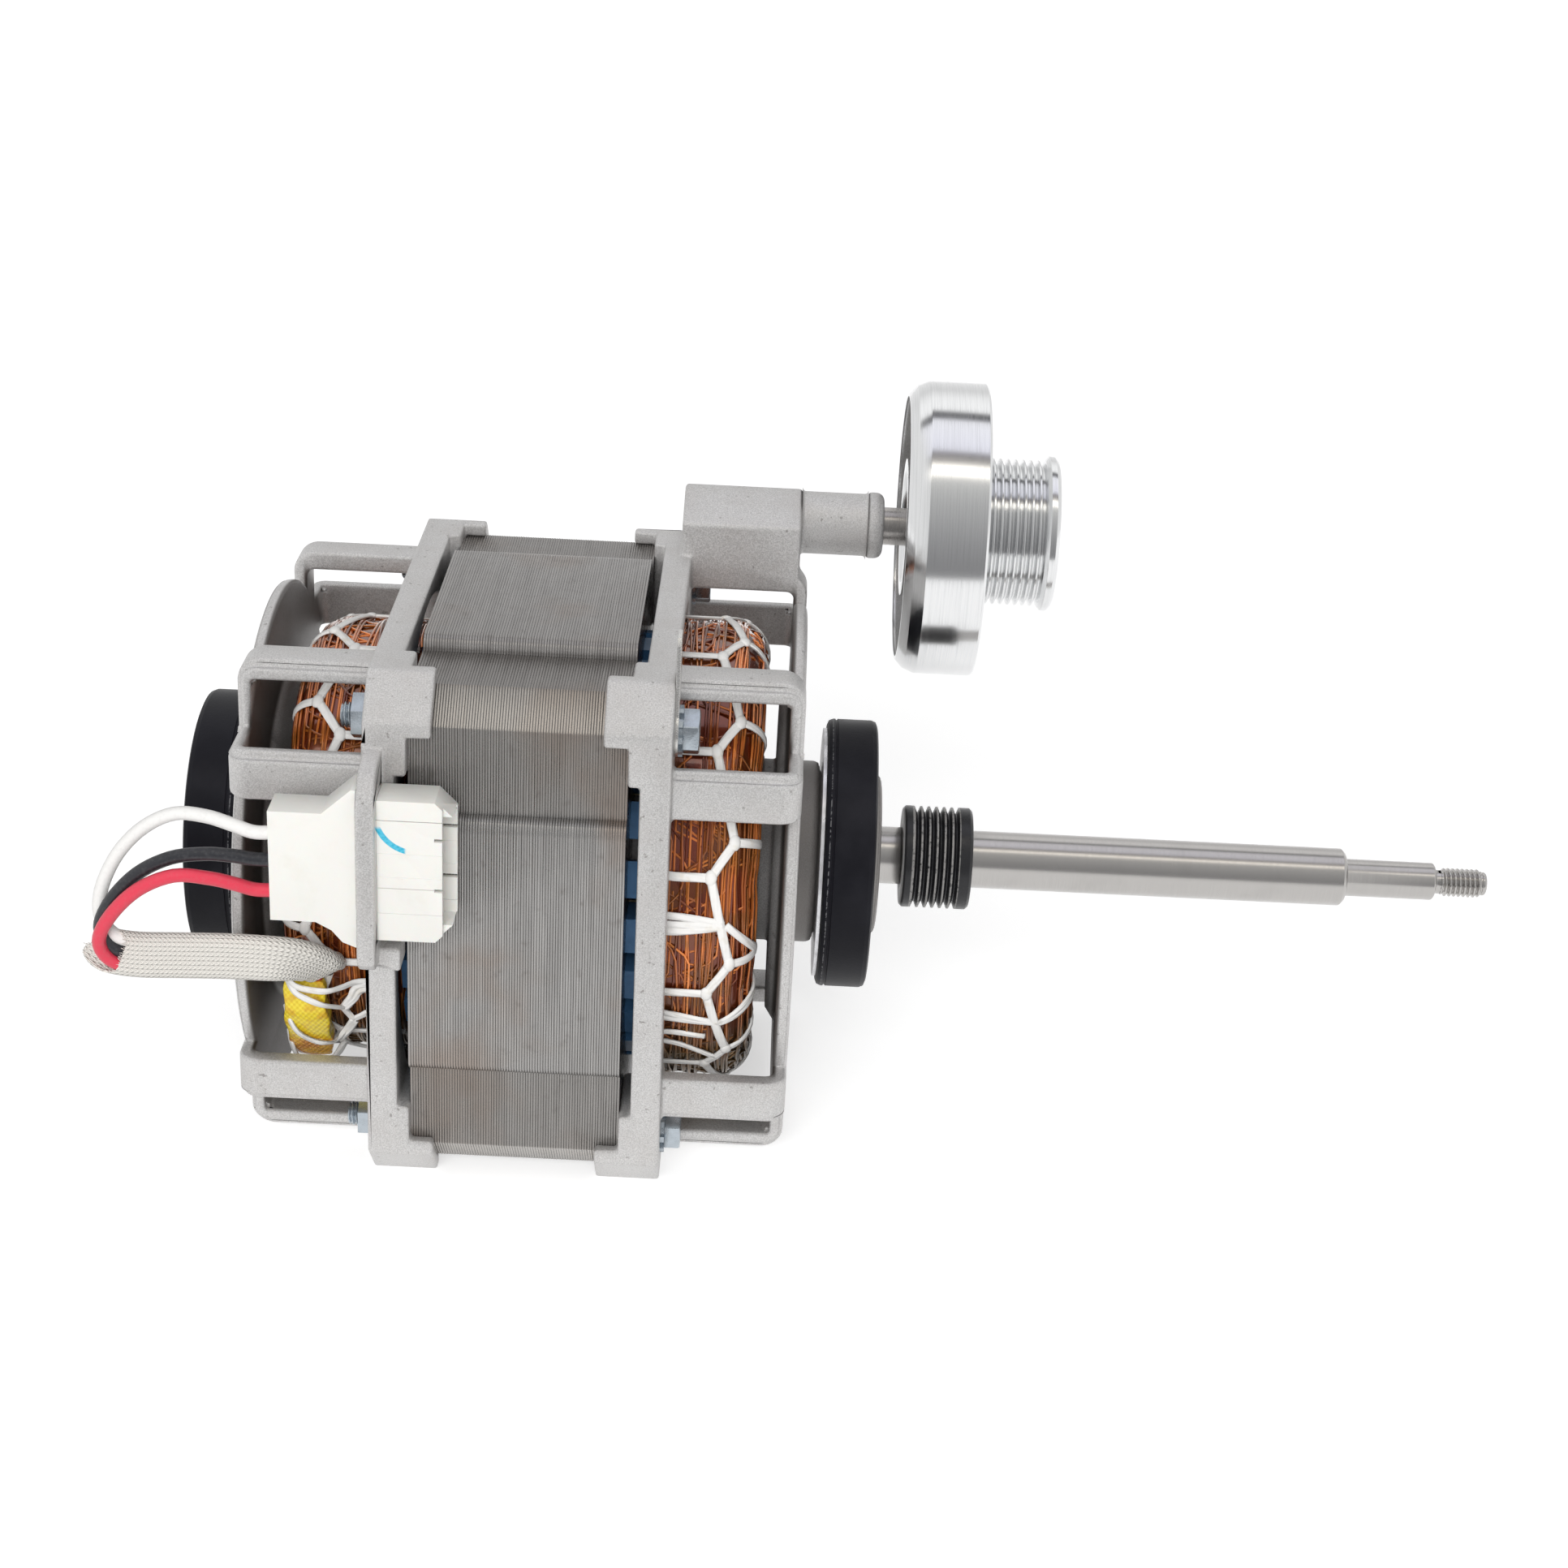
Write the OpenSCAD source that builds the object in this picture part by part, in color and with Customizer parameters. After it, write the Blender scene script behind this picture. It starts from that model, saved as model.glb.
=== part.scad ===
// Open-frame dryer motor with its belt wheel. All lengths are millimetres.
// X runs along the motor shaft towards its long end, Y away from the connector, Z up.
// The origin is the centre of the front rubber ring, on the shaft's axis.

/* [Stator] */
// Length of the lamination stack
stack_len = 41.5; // [36:0.5:56]
// Half width of the stack across its raised faces
stack_half = 54; // [53:0.5:58]
// Half width of each raised face
plateau_half = 27.5; // [22:0.5:27.5]
// Height of each raised face above the face beside it
plateau_step = 2.9; // [1.5:0.1:3.2]
// How much of each side is cut away at a corner of the stack
corner_cut = 6.3; // [5.6:0.1:6.9]
// From the stack's plain faces to a bolt
bolt_in = 7.8; // [7.2:0.1:8.6]
// Depth of the iron from the raised faces to the rotor's bore
iron_depth = 24; // [23.5:0.5:26]
// Number of slots
slot_count = 24; // [20:2:26]
// Width of a tooth between two slots
tooth_w = 4.2; // [3.6:0.1:4.6]
// Height of a tooth's tip
tooth_tip = 2; // [1.5:0.1:2.2]
// Width of a slot's mouth
slot_mouth = 2.4; // [1.8:0.1:3]
// Iron between the slots and the stack's plain faces
back_iron = 6.6; // [6:0.1:7.4]
// Length of slot liner that stands out of the stack
liner_out = 2.6; // [1.5:0.1:2.8]
// Thickness of a slot liner
liner_t = 0.3; // [0.2:0.05:0.4]

/* [Windings] */
// Length of the front end turns, from the stack to their nose
front_overhang = 26; // [22:0.5:26.5]
// Length of the rear end turns, from the stack to their nose
rear_overhang = 27; // [23:0.5:28]
// How much smaller the rear end turns are in radius than the front ones
rear_drop = 3; // [1:0.5:4]
// From the rotor's bore to the inside of the end turns
turns_clear = 3; // [2.5:0.25:4]
// Diameter of one strand of end turns
strand_d = 3.4; // [2.4:0.1:3.5]
// Loops of strand over each end
loops = 11; // [7:1:11]
// Width of a lacing tie
tie_w = 3; // [2:0.25:4]
// Thickness of a lacing tie
tie_t = 1; // [0.6:0.1:1.2]
// Places for ties round each end
tie_count = 12; // [12:12:24]

/* [Thermal protector] */
// Length of the protector round the winding
protector_len = 19; // [14:0.5:20]
// Width of the protector along the shaft
protector_w = 8.5; // [6:0.25:9]
// Thickness of the protector
protector_t = 4.6; // [3:0.1:5]
// Direction of the protector round the shaft, in degrees from Y towards Z
protector_dir = 213.5; // [212:0.5:216]

/* [End shields] */
// From the stack to the outer face of the front end wall
front_cage = 32.9; // [32:0.1:40]
// From the stack to the outer face of the rear end wall
rear_cage = 34.5; // [33:0.1:42]
// Thickness of an end wall
wall_t = 2.8; // [2:0.1:3.2]
// How far an end wall's disc stands out past the cage bars
disc_out = 0.5; // [0:0.25:1.5]
// Gap between the stack and the flange along the raised faces
flange_gap = 2.3; // [1:0.1:3]
// From the stack to the flange's outer face
flange_len = 8.2; // [7:0.1:10]
// Width of the flange's rim at the middle of a side
flange_rim = 3.7; // [3:0.1:4.5]
// How far the cage stands inside the flange
cage_inset = 3; // [2:0.1:4]
// Width of a cage bar
bar_w = 8; // [6:0.25:9]
// Thickness of a cage bar
bar_t = 4; // [3:0.1:5]
// From a cage window to the flange's corner
window_edge = 26; // [26:0.5:30]
// Outer radius of a bar's bend into the end wall
bend_r = 4.5; // [3:0.25:6]
// Width of the ledge along a bar
ledge_w = 1.5; // [0.8:0.1:2]
// How far a bar's ledge lies below its face
ledge_drop = 1.6; // [1:0.1:2]
// Length of the lugs that reach over the stack's corners
lug_len = 4.7; // [3:0.1:7]
// Width of a lug along the stack's side
lug_w = 10.8; // [10:0.2:12]
// Width of a corner pad along the stack's side
pad_w = 18.6; // [17:0.2:21]

/* [Bearings and hubs] */
// Diameter of the shaft
shaft_d = 12; // [10:0.5:13]
// Outer diameter of a motor bearing
bearing_d = 32; // [30:0.5:32.5]
// Width of a motor bearing
bearing_w = 10; // [8:0.5:11]
// Diameter of the hub on an end wall
hub_d = 38; // [37:0.5:42]
// Height of the front hub
front_hub_h = 4.3; // [3.4:0.1:4.6]
// Height of the rear hub
rear_hub_h = 2.8; // [2.6:0.1:3]
// Depth of the front bearing's seat past the end wall's outer face
front_seat = 2.1; // [1:0.1:2.6]
// Depth of the rear bearing's seat past the end wall's outer face
rear_seat = 1.4; // [0.5:0.1:1.8]
// Room for the wave washer behind the rear bearing
washer_room = 0.9; // [0.7:0.05:1.2]

/* [Rubber rings] */
// Diameter of a rubber ring
ring_d = 56; // [52:0.5:60]
// Width of a rubber ring
ring_w = 10.4; // [8:0.2:12]
// From the front end wall to the front ring
front_ring_gap = 5.4; // [5.4:0.1:7]
// From the rear end wall to the rear ring
rear_ring_gap = 3.8; // [3.8:0.1:6]
// Diameter of the neck that carries a ring
neck_d = 33.4; // [30:0.2:36]
// How far the front neck stands out of its ring
neck_out = 1.5; // [0.5:0.1:3]
// Diameter of the metal plate beside a ring
plate_d = 52; // [44:0.5:52]
// Thickness of the metal plate beside a ring
plate_t = 0.7; // [0.4:0.05:0.7]

/* [Bolts] */
// Diameter of a through bolt
bolt_d = 5; // [4:0.5:5.5]
// Width of a bolt's head across its flats
bolt_af = 8; // [7:0.5:9]
// Height of a bolt's head
bolt_head_h = 3.2; // [2.5:0.1:4]
// Length of bolt past its nut
bolt_past = 2.3; // [1:0.1:4]
// Height of a flange nut
nut_h = 3.8; // [3:0.1:5]
// Diameter of a nut's flange
nut_flange_d = 10.4; // [9.6:0.2:11]
// Thickness of a toothed washer
washer_t = 0.8; // [0.5:0.1:1]

/* [Earth tab] */
// Height of the tab above its bolt
tab_len = 19.5; // [15:0.5:24]
// Width of the tab
tab_w = 6.3; // [4.8:0.1:6.3]
// Thickness of the tab
tab_t = 0.8; // [0.5:0.1:1]

/* [Rotor] */
// Air gap between rotor and stator
air_gap = 0.35; // [0.25:0.05:0.6]
// Diameter of the shaft inside the rotor
core_bore_d = 15; // [14:0.5:18]
// Number of cage bars in the rotor
rotor_bars = 28; // [22:2:30]
// Diameter of a rotor bar
rotor_bar_d = 3.8; // [3:0.1:4]
// Thickness of a rotor end ring
end_ring_t = 6; // [4:0.5:7]
// Length of the fan blades on an end ring
blade_len = 8; // [4:0.5:9]
// Blades on each end ring
blade_count = 8; // [6:1:10]

/* [Shaft] */
// From the origin to the end of the shaft's full diameter
shaft_end = 104.5; // [80:0.5:120]
// Diameter of the fan seat
seat_d = 7.8; // [7:0.1:8.4]
// Length of the fan seat
seat_len = 18.9; // [12:0.1:24]
// Diameter of the thread at the shaft's end
thread_d = 6; // [5:0.1:6.4]
// Length of the thread with its relief
thread_len = 10.95; // [8:0.05:16]

/* [Motor pulley] */
// From the origin to the motor pulley
motor_pulley_x = 11.6; // [9:0.2:16]
// Length of the motor pulley
motor_pulley_len = 14.4; // [13:0.2:18]
// Diameter of the motor pulley
motor_pulley_d = 21.3; // [19:0.1:26]
// Grooves in the motor pulley
motor_grooves = 6; // [3:1:7]
// Pitch of the belt grooves
groove_pitch = 1.6; // [1.4:0.05:1.75]
// Depth of the belt grooves
groove_depth = 1.25; // [0.9:0.05:1.4]

/* [Belt wheel] */
// Height of the wheel's axle above the stack's raised face
axle_out = 5; // [4:0.5:10]
// From the stack's far side to the wheel's axle
axle_in = 14; // [12:0.5:20]
// Diameter of the wheel
wheel_d = 62; // [58:0.5:70]
// Length of the wheel
wheel_len = 16.6; // [14:0.2:18]
// Wall of the wheel's rim
wheel_rim = 3.4; // [2.4:0.1:4.5]
// Thickness of the wheel's web
wheel_web = 4.5; // [3:0.1:6]
// Diameter of the wheel's hub
wheel_hub_d = 29; // [27:0.2:31]
// Ribs in the wheel
wheel_ribs = 6; // [4:1:8]
// Diameter of the ribbed pulley beside the wheel
drum_pulley_d = 31; // [29:0.2:36]
// Grooves in the ribbed pulley
drum_grooves = 8; // [4:1:9]
// Diameter of the ribbed pulley's end flange
end_flange_d = 32.8; // [32:0.2:38]
// Length of the ribbed pulley's end flange
end_flange_len = 2.6; // [2:0.1:4]
// Diameter of the axle
axle_d = 8; // [7:0.5:8.5]
// Outer diameter of a wheel bearing
wheel_bearing_d = 22; // [20:0.5:23]
// Width of a wheel bearing
wheel_bearing_w = 7; // [5:0.5:8]

/* [Axle boss] */
// Diameter of the boss
boss_d = 13.2; // [12:0.2:15]
// Gap between the boss and the wheel
boss_gap = 3.9; // [1:0.1:5]
// Length of the boss
boss_len = 17.5; // [12:0.5:17.5]
// Length of the block that carries the boss
block_len = 25; // [20:0.5:25]
// Height of the block's upright near face above the cage bar
block_step = 10.2; // [6:0.2:11]
// Length of the raised collar at the boss's mouth
collar_len = 3.5; // [2:0.1:6]

/* [Connector] */
// Length of the plate's slot for the connector, up the plate
slot_h = 28.8; // [26:0.2:31]
// Thickness of the connector
connector_t = 8.5; // [8:0.1:9]
// Height of the connector's middle
connector_z = 20.4; // [19:0.1:21]
// Height of the wire side of the connector
wire_side_h = 22.3; // [20:0.1:24]
// Height of the connector's shoulders
shoulder_h = 32.2; // [31:0.1:34]
// Length of the wire side, from the plate
wire_side_len = 16.5; // [14:0.5:16.5]
// Length of the socket side, from the plate
socket_len = 14.4; // [12:0.2:16]
// Thickness of the plate
bracket_t = 3.5; // [2.5:0.1:4]
// How far the plate stands out of the flange
bracket_out = 12.5; // [11.9:0.1:14]
// Width of plate left outside its slot
bracket_edge = 2.8; // [2:0.1:3]

/* [Leads] */
// Diameter of a lead
lead_d = 2.7; // [2:0.1:2.9]
// Wall of the braided sleeve
sleeve_wall = 0.45; // [0.3:0.05:0.6]

/* [Hidden] */
// Radial clearance of pressed fits
fit = 0.02;
// Clearance of parts that turn in each other
run = 0.04;
// Clearance of parts that lie loosely beside each other
loose = 0.1;
// Clearance of soft pieces
soft = 0.3;
// Facets of large turned pieces and of small ones
round_fn = 96;
small_fn = 32;

// Places along the shaft
wall_fx = -(ring_w / 2 + front_ring_gap);
stack_fx = wall_fx - front_cage;
stack_rx = stack_fx - stack_len;

// Stack, flange and cage; a cut grows by this share when its square grows evenly
face_half = stack_half - plateau_step;
cut_growth = 2 - sqrt(2);
rotor_bore_r = stack_half - iron_depth;
bolt_at = face_half - bolt_in;
lug_cut = corner_cut + cut_growth * plateau_step;
open_r = stack_half - flange_rim;
cage_half = stack_half - cage_inset;
disc_r = cage_half + disc_out;
window_half = stack_half - window_edge;
axle_y = stack_half - axle_in;
axle_z = stack_half + axle_out;
lug_in = stack_half - lug_w;
pad_in = stack_half - pad_w;
slot_r0 = rotor_bore_r + tooth_tip;
slot_r1 = face_half - back_iron;
liner_r0 = slot_r0 + 1.4;
liner_r1 = slot_r1 - loose;
wedge_r0 = slot_r0 + 0.3;

// End turns: the strand's path runs out, round the nose and back
turns_in_r = rotor_bore_r + turns_clear;
turns_start = liner_out + strand_d / 2 + soft;
front_out_r = open_r - tie_t - 1.3;
rear_out_r = front_out_r - rear_drop;
tie_gap = 0.15;

// Bearings and hubs, measured from the stack's end face
front_bearing_x = front_cage + front_seat - bearing_w;
rear_bearing_x = rear_cage + rear_seat - washer_room - bearing_w + 0.5;
rear_pocket_x = rear_bearing_x + bearing_w + washer_room;
collar_r = bearing_d / 2 + 3;
front_neck_x = front_cage + front_ring_gap + ring_w + neck_out;
rear_neck_x = rear_cage + rear_ring_gap + ring_w - 1;
shaft_r = shaft_d / 2;
neck_bore_r = shaft_r + 0.6;
rear_bore_x = rear_neck_x - 2.5;

// Rotor
rotor_r = rotor_bore_r - air_gap;
bar_circle_r = rotor_r - 0.8 - rotor_bar_d / 2;
end_ring_r = rotor_r - 0.6;
end_ring_in_r = bar_circle_r - rotor_bar_d / 2 - 4;

// Shaft
shoulder_fx = stack_fx + front_bearing_x;
shoulder_rx = stack_rx - rear_bearing_x;
shaft_rx = stack_rx - rear_pocket_x + 0.3;
seat_x = shaft_end + seat_len;
thread_x = seat_x + thread_len;

// Wheel and its axle: the wheel's band lies in line with the motor pulley
motor_pulley_x1 = motor_pulley_x + motor_pulley_len;
wheel_x1 = motor_pulley_x1 - 0.5;
wheel_x0 = wheel_x1 - wheel_len;
drum_x0 = wheel_x1 + 0.5;
drum_x1 = drum_x0 + drum_grooves * groove_pitch;
pulley_x1 = drum_x1 + end_flange_len;
wheel_bearing_x0 = wheel_x0 + 3.5;
wheel_bearing_x1 = pulley_x1 - 1.4 - wheel_bearing_w;
wheel_bore_r = wheel_bearing_d / 2;
clip_x = wheel_bearing_x1 + wheel_bearing_w + loose;
clip_t = 0.8;
axle_x1 = clip_x + clip_t + 1;
boss_x1 = wheel_x0 - boss_gap;
boss_x0 = boss_x1 - boss_len;
block_x0 = boss_x0 - block_len;
axle_x0 = boss_x0 - 7.5;
collar_step = 0.4;
spacer_r = axle_d / 2 + 1.6;

// Bolts: the head lies on the washer, and at the tab's bolt on tab and washer
head_x = stack_fx + flange_len + washer_t;
nut_x = stack_rx - flange_len + 0.8;
bolt_end_x = nut_x - nut_h - bolt_past;
bolt_hole_r = bolt_d / 2 + 0.25;

// Connector and its plate
bracket_x1 = nut_x + 3;
bracket_x0 = bracket_x1 - bracket_t;
bracket_y = -(stack_half + bracket_out);
connector_y0 = bracket_y + bracket_edge + loose;
connector_y1 = connector_y0 + connector_t;
connector_x0 = bracket_x0 - wire_side_len;
connector_x1 = bracket_x1 + socket_len;
socket_h = slot_h - 2 * loose;
connector_wall = 1.2;
socket_floor_x = bracket_x1 + 2.5;
terminal_zs = [connector_z - 7, connector_z - 0.7, connector_z + 4.9];
connector_mid_y = (connector_y0 + connector_y1) / 2;
near_lip = 2;
latch_slot_len = 3.5;
latch_slot_h = 0.7;
latch_zs = [connector_z - 3.9, connector_z + 6.4];

// Routes of the braided sleeve and of the three leads up to the sleeve, by hand
sleeve_route = [
    [-146, -57.5, 1], [-142.5, -57.5, -1.6], [-136.5, -57.3, -2.6], [-128, -57, -2.5],
    [-119, -57, -2.2], [-111.5, -56.3, -2.6], [-107, -53.8, -4], [-104, -50, -6.5],
    [-102.5, -46.4, -9]];
white_route = [
    [-109.4, -59.3, 25.3], [-113, -59.3, 25.3], [-117, -58.8, 26.4], [-122, -57.9, 27.4],
    [-128, -57, 27.2], [-134, -56.8, 24], [-139.2, -56.6, 18.2], [-142.6, -56.6, 11],
    [-143.1, -57, 5.4], [-140.8, -57.2, 1.6]];
black_route = [
    [-109.4, -59.3, 19.7], [-113, -59.3, 19.7], [-117, -59.6, 20.3], [-122, -60, 20.6],
    [-128.5, -60, 19.4], [-135, -59.6, 15.6], [-140.4, -59, 9.4], [-142.9, -58.4, 3.4],
    [-141, -57.8, -0.9]];
red_route = [
    [-109.4, -59.3, 13.4], [-113, -59.3, 13.4], [-116.5, -60.3, 14.8], [-121, -61.3, 16.2],
    [-127.5, -62.2, 16.8], [-134.5, -62, 13.4], [-140.2, -61.2, 7.2], [-142.9, -60, 1.2],
    [-141.3, -58.6, -3.3]];

// Extrudes an outline in Y and Z from x0 to x1
module along_x(x0, x1) {
    translate([x0, 0, 0]) rotate([90, 0, 90]) linear_extrude(x1 - x0) children();
}

// Extrudes an outline in X and Z from y0 to y1
module along_y(y0, y1) {
    translate([0, y1, 0]) rotate([90, 0, 0]) linear_extrude(y1 - y0) children();
}

// Turns an outline whose x is the radius and whose y is the place along X
module about_x(fn = round_fn) {
    rotate([0, 90, 0]) rotate_extrude($fn = fn) children();
}

// A solid turned part from x0 to x1
module rod(r, x0, x1, fn = round_fn) {
    translate([x0, 0, 0]) rotate([0, 90, 0]) cylinder(r = r, h = x1 - x0, $fn = fn);
}

// Frames of the two ends: X is measured outwards from the stack's end face
module at_front() { translate([stack_fx, 0, 0]) children(); }
module at_rear() { translate([stack_rx, 0, 0]) mirror([1, 0, 0]) children(); }

// Copies at the four corners and at the four sides
module at_corners() {
    for (y = [-1, 1], z = [-1, 1]) translate([0, y * bolt_at, z * bolt_at]) children();
}
module at_sides() { for (k = [0:3]) rotate([90 * k, 0, 0]) children(); }

// Square of a half width whose corners are cut off at 45 degrees
module cut_square(half, cut) {
    intersection() {
        square(2 * half, center = true);
        rotate(45) square(sqrt(2) * (2 * half - cut), center = true);
    }
}

// Rectangle with round corners, centred
module round_rect(w, h, r) {
    square([w, h - 2 * r], center = true);
    square([w - 2 * r, h], center = true);
    for (x = [-1, 1], y = [-1, 1])
        translate([x * (w / 2 - r), y * (h / 2 - r)]) circle(r = r, $fn = small_fn);
}

// Outline of the stack, grown by a clearance: its raised faces have round shoulders
module stack_outline(grow = 0) {
    cut_square(face_half + grow, corner_cut + cut_growth * grow);
    for (turn = [0, 90]) rotate(turn) hull()
        for (x = [-1, 1], y = [-1, 1])
            translate([x * (plateau_half - plateau_step), y * face_half])
                circle(r = plateau_step + grow, $fn = small_fn);
}

// Half width of a slot at radius r, less a clearance
function slot_half(r, gap = 0) = r * tan(180 / slot_count) - tooth_w / 2 - gap;

// Piece of a slot's outline between two radii
module slot_band(r0, r1, gap) {
    polygon([
        [r0, -slot_half(r0, gap)], [r1, -slot_half(r1, gap)],
        [r1, slot_half(r1, gap)], [r0, slot_half(r0, gap)]]);
}

module at_slots() { for (k = [0:slot_count - 1]) rotate(k * 360 / slot_count) children(); }

module stator_core() {
    color("#8a8782") difference() {
        along_x(stack_rx, stack_fx) difference() {
            stack_outline();
            at_slots() {
                slot_band(slot_r0, slot_r1, 0);
                translate([rotor_bore_r - 1, -slot_mouth / 2])
                    square([tooth_tip + 2, slot_mouth]);
            }
        }
        rod(rotor_bore_r, stack_rx - 1, stack_fx + 1);
        at_corners() rod(bolt_hole_r, stack_rx - 1, stack_fx + 1, small_fn);
    }
}

module slot_liners() {
    color("#4f86b8") along_x(stack_rx - liner_out, stack_fx + liner_out) at_slots()
        difference() {
            slot_band(liner_r0, liner_r1, loose);
            slot_band(liner_r0 - 1, liner_r1 - liner_t, loose + liner_t);
        }
}

module slot_wedges() {
    color("#d8cfae") along_x(stack_rx - liner_out, stack_fx + liner_out) at_slots()
        slot_band(wedge_r0, liner_r0 - loose, loose);
}

// Radii and places of a strand's path over one end: outer leg, nose and inner leg
function leg_out(out_r) = out_r - strand_d / 2;
leg_in = turns_in_r + strand_d / 2;
function nose_r(out_r) = (leg_out(out_r) - leg_in) / 2;
function nose_x(out_r, overhang) = overhang - strand_d / 2 - nose_r(out_r);
function leg_len(out_r, overhang) = nose_x(out_r, overhang) - turns_start;
function path_len(out_r, overhang) =
    2 * leg_len(out_r, overhang) + PI * nose_r(out_r);

// Place [x, r] at distance s along that path
function path_at(s, out_r, overhang) =
    let (leg = leg_len(out_r, overhang), nr = nose_r(out_r), total = path_len(out_r, overhang),
        turn = (s - leg) / nr * 180 / PI)
    s < leg ? [turns_start + s, leg_out(out_r)]
    : s > total - leg ? [turns_start + total - s, leg_in]
    : [nose_x(out_r, overhang) + nr * sin(turn), leg_in + nr + nr * cos(turn)];

// Centre points of the strand, which winds round the shaft's axis
loop_steps = 24;
function strand_points(out_r, overhang) = [
    for (i = [0:loops * loop_steps])
        let (a = 360 * i / loop_steps,
            q = path_at(path_len(out_r, overhang) * i / (loops * loop_steps), out_r, overhang))
        [q[0], q[1] * cos(a), q[1] * sin(a)]];

// Least distance between points of the strand that lie about a loop apart or more
function least_gap(p) =
    min([for (i = [0:len(p) - 1], j = [i + loop_steps / 2:1:len(p) - 1]) norm(p[i] - p[j])])
    - strand_d;

// Side faces of n rings of m points that start at point s, turned over if flip is true
function side_faces(n, m, s = 0, flip = false) = [
    for (i = [0:n - 2], k = [0:m - 1], h = [0, 1])
        let (a = s + i * m + k, b = s + i * m + (k + 1) % m, c = a + m, d = b + m)
        flip ? (h == 0 ? [a, b, c] : [b, d, c]) : (h == 0 ? [a, c, b] : [b, c, d])];

// Fan of triangles that closes a ring of m points that starts at point s
function cap_faces(m, s, flip = false) = [
    for (k = [1:m - 2]) flip ? [s, s + k + 1, s + k] : [s, s + k, s + k + 1]];

module end_turns(out_r, overhang) {
    p = strand_points(out_r, overhang);
    echo(least_gap_of_strand = least_gap(p));
    sides = 6;
    n = len(p);
    pts = [
        for (i = [0:n - 1], k = [0:sides - 1])
            let (a = 360 * i / loop_steps, t = 360 * k / sides)
            p[i] + strand_d / 2 * [sin(t), cos(t) * cos(a), cos(t) * sin(a)]];
    polyhedron(pts, concat(
        side_faces(n, sides), cap_faces(sides, 0), cap_faces(sides, (n - 1) * sides, true)));
}

// Section of the end turns, grown or shrunk: x along the shaft, y the radius
module turns_section(out_r, overhang, grow, x0) {
    nr = nose_r(out_r) + grow;
    mid = leg_in + nose_r(out_r);
    translate([x0, mid - nr]) square([nose_x(out_r, overhang) - x0, 2 * nr]);
    translate([nose_x(out_r, overhang), mid]) circle(r = nr, $fn = small_fn);
}

// Core below the strand, which clears the flats between the strand's points
module turns_core(out_r, overhang) {
    shrink = -(strand_d / 2 + soft + out_r * (1 - cos(180 / loop_steps)));
    about_x() mirror([1, -1]) turns_section(out_r, overhang, shrink, turns_start - strand_d / 2);
}

module winding_core() {
    bar_x = turns_start - strand_d / 2;
    color("#8c4a1f") {
        at_front() turns_core(front_out_r, front_overhang);
        at_rear() turns_core(rear_out_r, rear_overhang);
        along_x(stack_rx - bar_x, stack_fx + bar_x) at_slots()
            slot_band(liner_r0 + 1, liner_r1 - liner_t - loose, 2 * loose + liner_t);
    }
}

module rear_turns() { color("#a5561f") at_rear() end_turns(rear_out_r, rear_overhang); }
module front_turns() { color("#b0602a") at_front() end_turns(front_out_r, front_overhang); }

// One tie over the end turns: open towards the stack
module tie(out_r, overhang) {
    linear_extrude(tie_w, center = true) difference() {
        turns_section(out_r, overhang, strand_d / 2 + tie_gap + tie_t, liner_out + soft);
        turns_section(out_r, overhang, strand_d / 2 + tie_gap, 0);
    }
}

module lacing(out_r, overhang, skip) {
    for (k = [0:tie_count - 1])
        let (a = k * 360 / tie_count)
            if (abs(a - skip) > 360 / tie_count * 0.6) rotate([a, 0, 0]) tie(out_r, overhang);
}

module rear_lacing() {
    color("white") at_rear() lacing(rear_out_r, rear_overhang, protector_dir);
}
module front_lacing() {
    color("white") at_front() lacing(front_out_r, front_overhang, -360);
}

module thermal_protector() {
    x1 = rear_overhang - 1.2;
    seat_r = rear_out_r + soft;
    color("#d9b400") at_rear() rotate([protector_dir, 0, 0])
        along_x(x1 - protector_w, x1) translate([seat_r + protector_t / 2, 0])
            round_rect(protector_t, protector_len, 1.6);
}

// Outline of one cage bar and its bend into the end wall, in X and Z: the ledge beside it
// drops below the bar's face, and stays half as far behind the wall's outer face
module bar_outline(wall_x, drop) {
    top = cage_half - drop;
    foot = disc_r * 0.6;
    in_r = max(bend_r - drop - wall_t, 0.8);
    out_r = bend_r - drop;
    face_x = wall_x - drop / 2;
    difference() {
        union() {
            translate([flange_gap, foot]) square([face_x - flange_gap, top - out_r - foot]);
            translate([flange_gap, foot]) square([face_x - out_r - flange_gap, top - foot]);
            translate([face_x - out_r, top - out_r]) circle(r = out_r, $fn = small_fn);
        }
        translate([flange_gap - 1, foot - 1])
            square([wall_x - wall_t - flange_gap + 1, cage_half - bar_t - in_r - foot + 1]);
        translate([flange_gap - 1, foot - 1])
            square([wall_x - wall_t - in_r - flange_gap + 1, cage_half - bar_t - foot + 1]);
        translate([wall_x - wall_t - in_r, cage_half - bar_t - in_r])
            circle(r = in_r, $fn = small_fn);
    }
}

module cage_bars(wall_x) {
    at_sides() for (m = [0, 1]) mirror([0, m, 0]) {
        along_y(window_half, window_half + bar_w) bar_outline(wall_x, 0);
        along_y(window_half + 1, window_half + bar_w + ledge_w)
            bar_outline(wall_x, ledge_drop);
    }
}

// Corner squares that keep what lies beyond a distance on both sides
module corner_squares(from) {
    for (y = [-1, 1], z = [-1, 1])
        translate([y > 0 ? from : -2 * stack_half, z > 0 ? from : -2 * stack_half])
            square(2 * stack_half - from);
}

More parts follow.
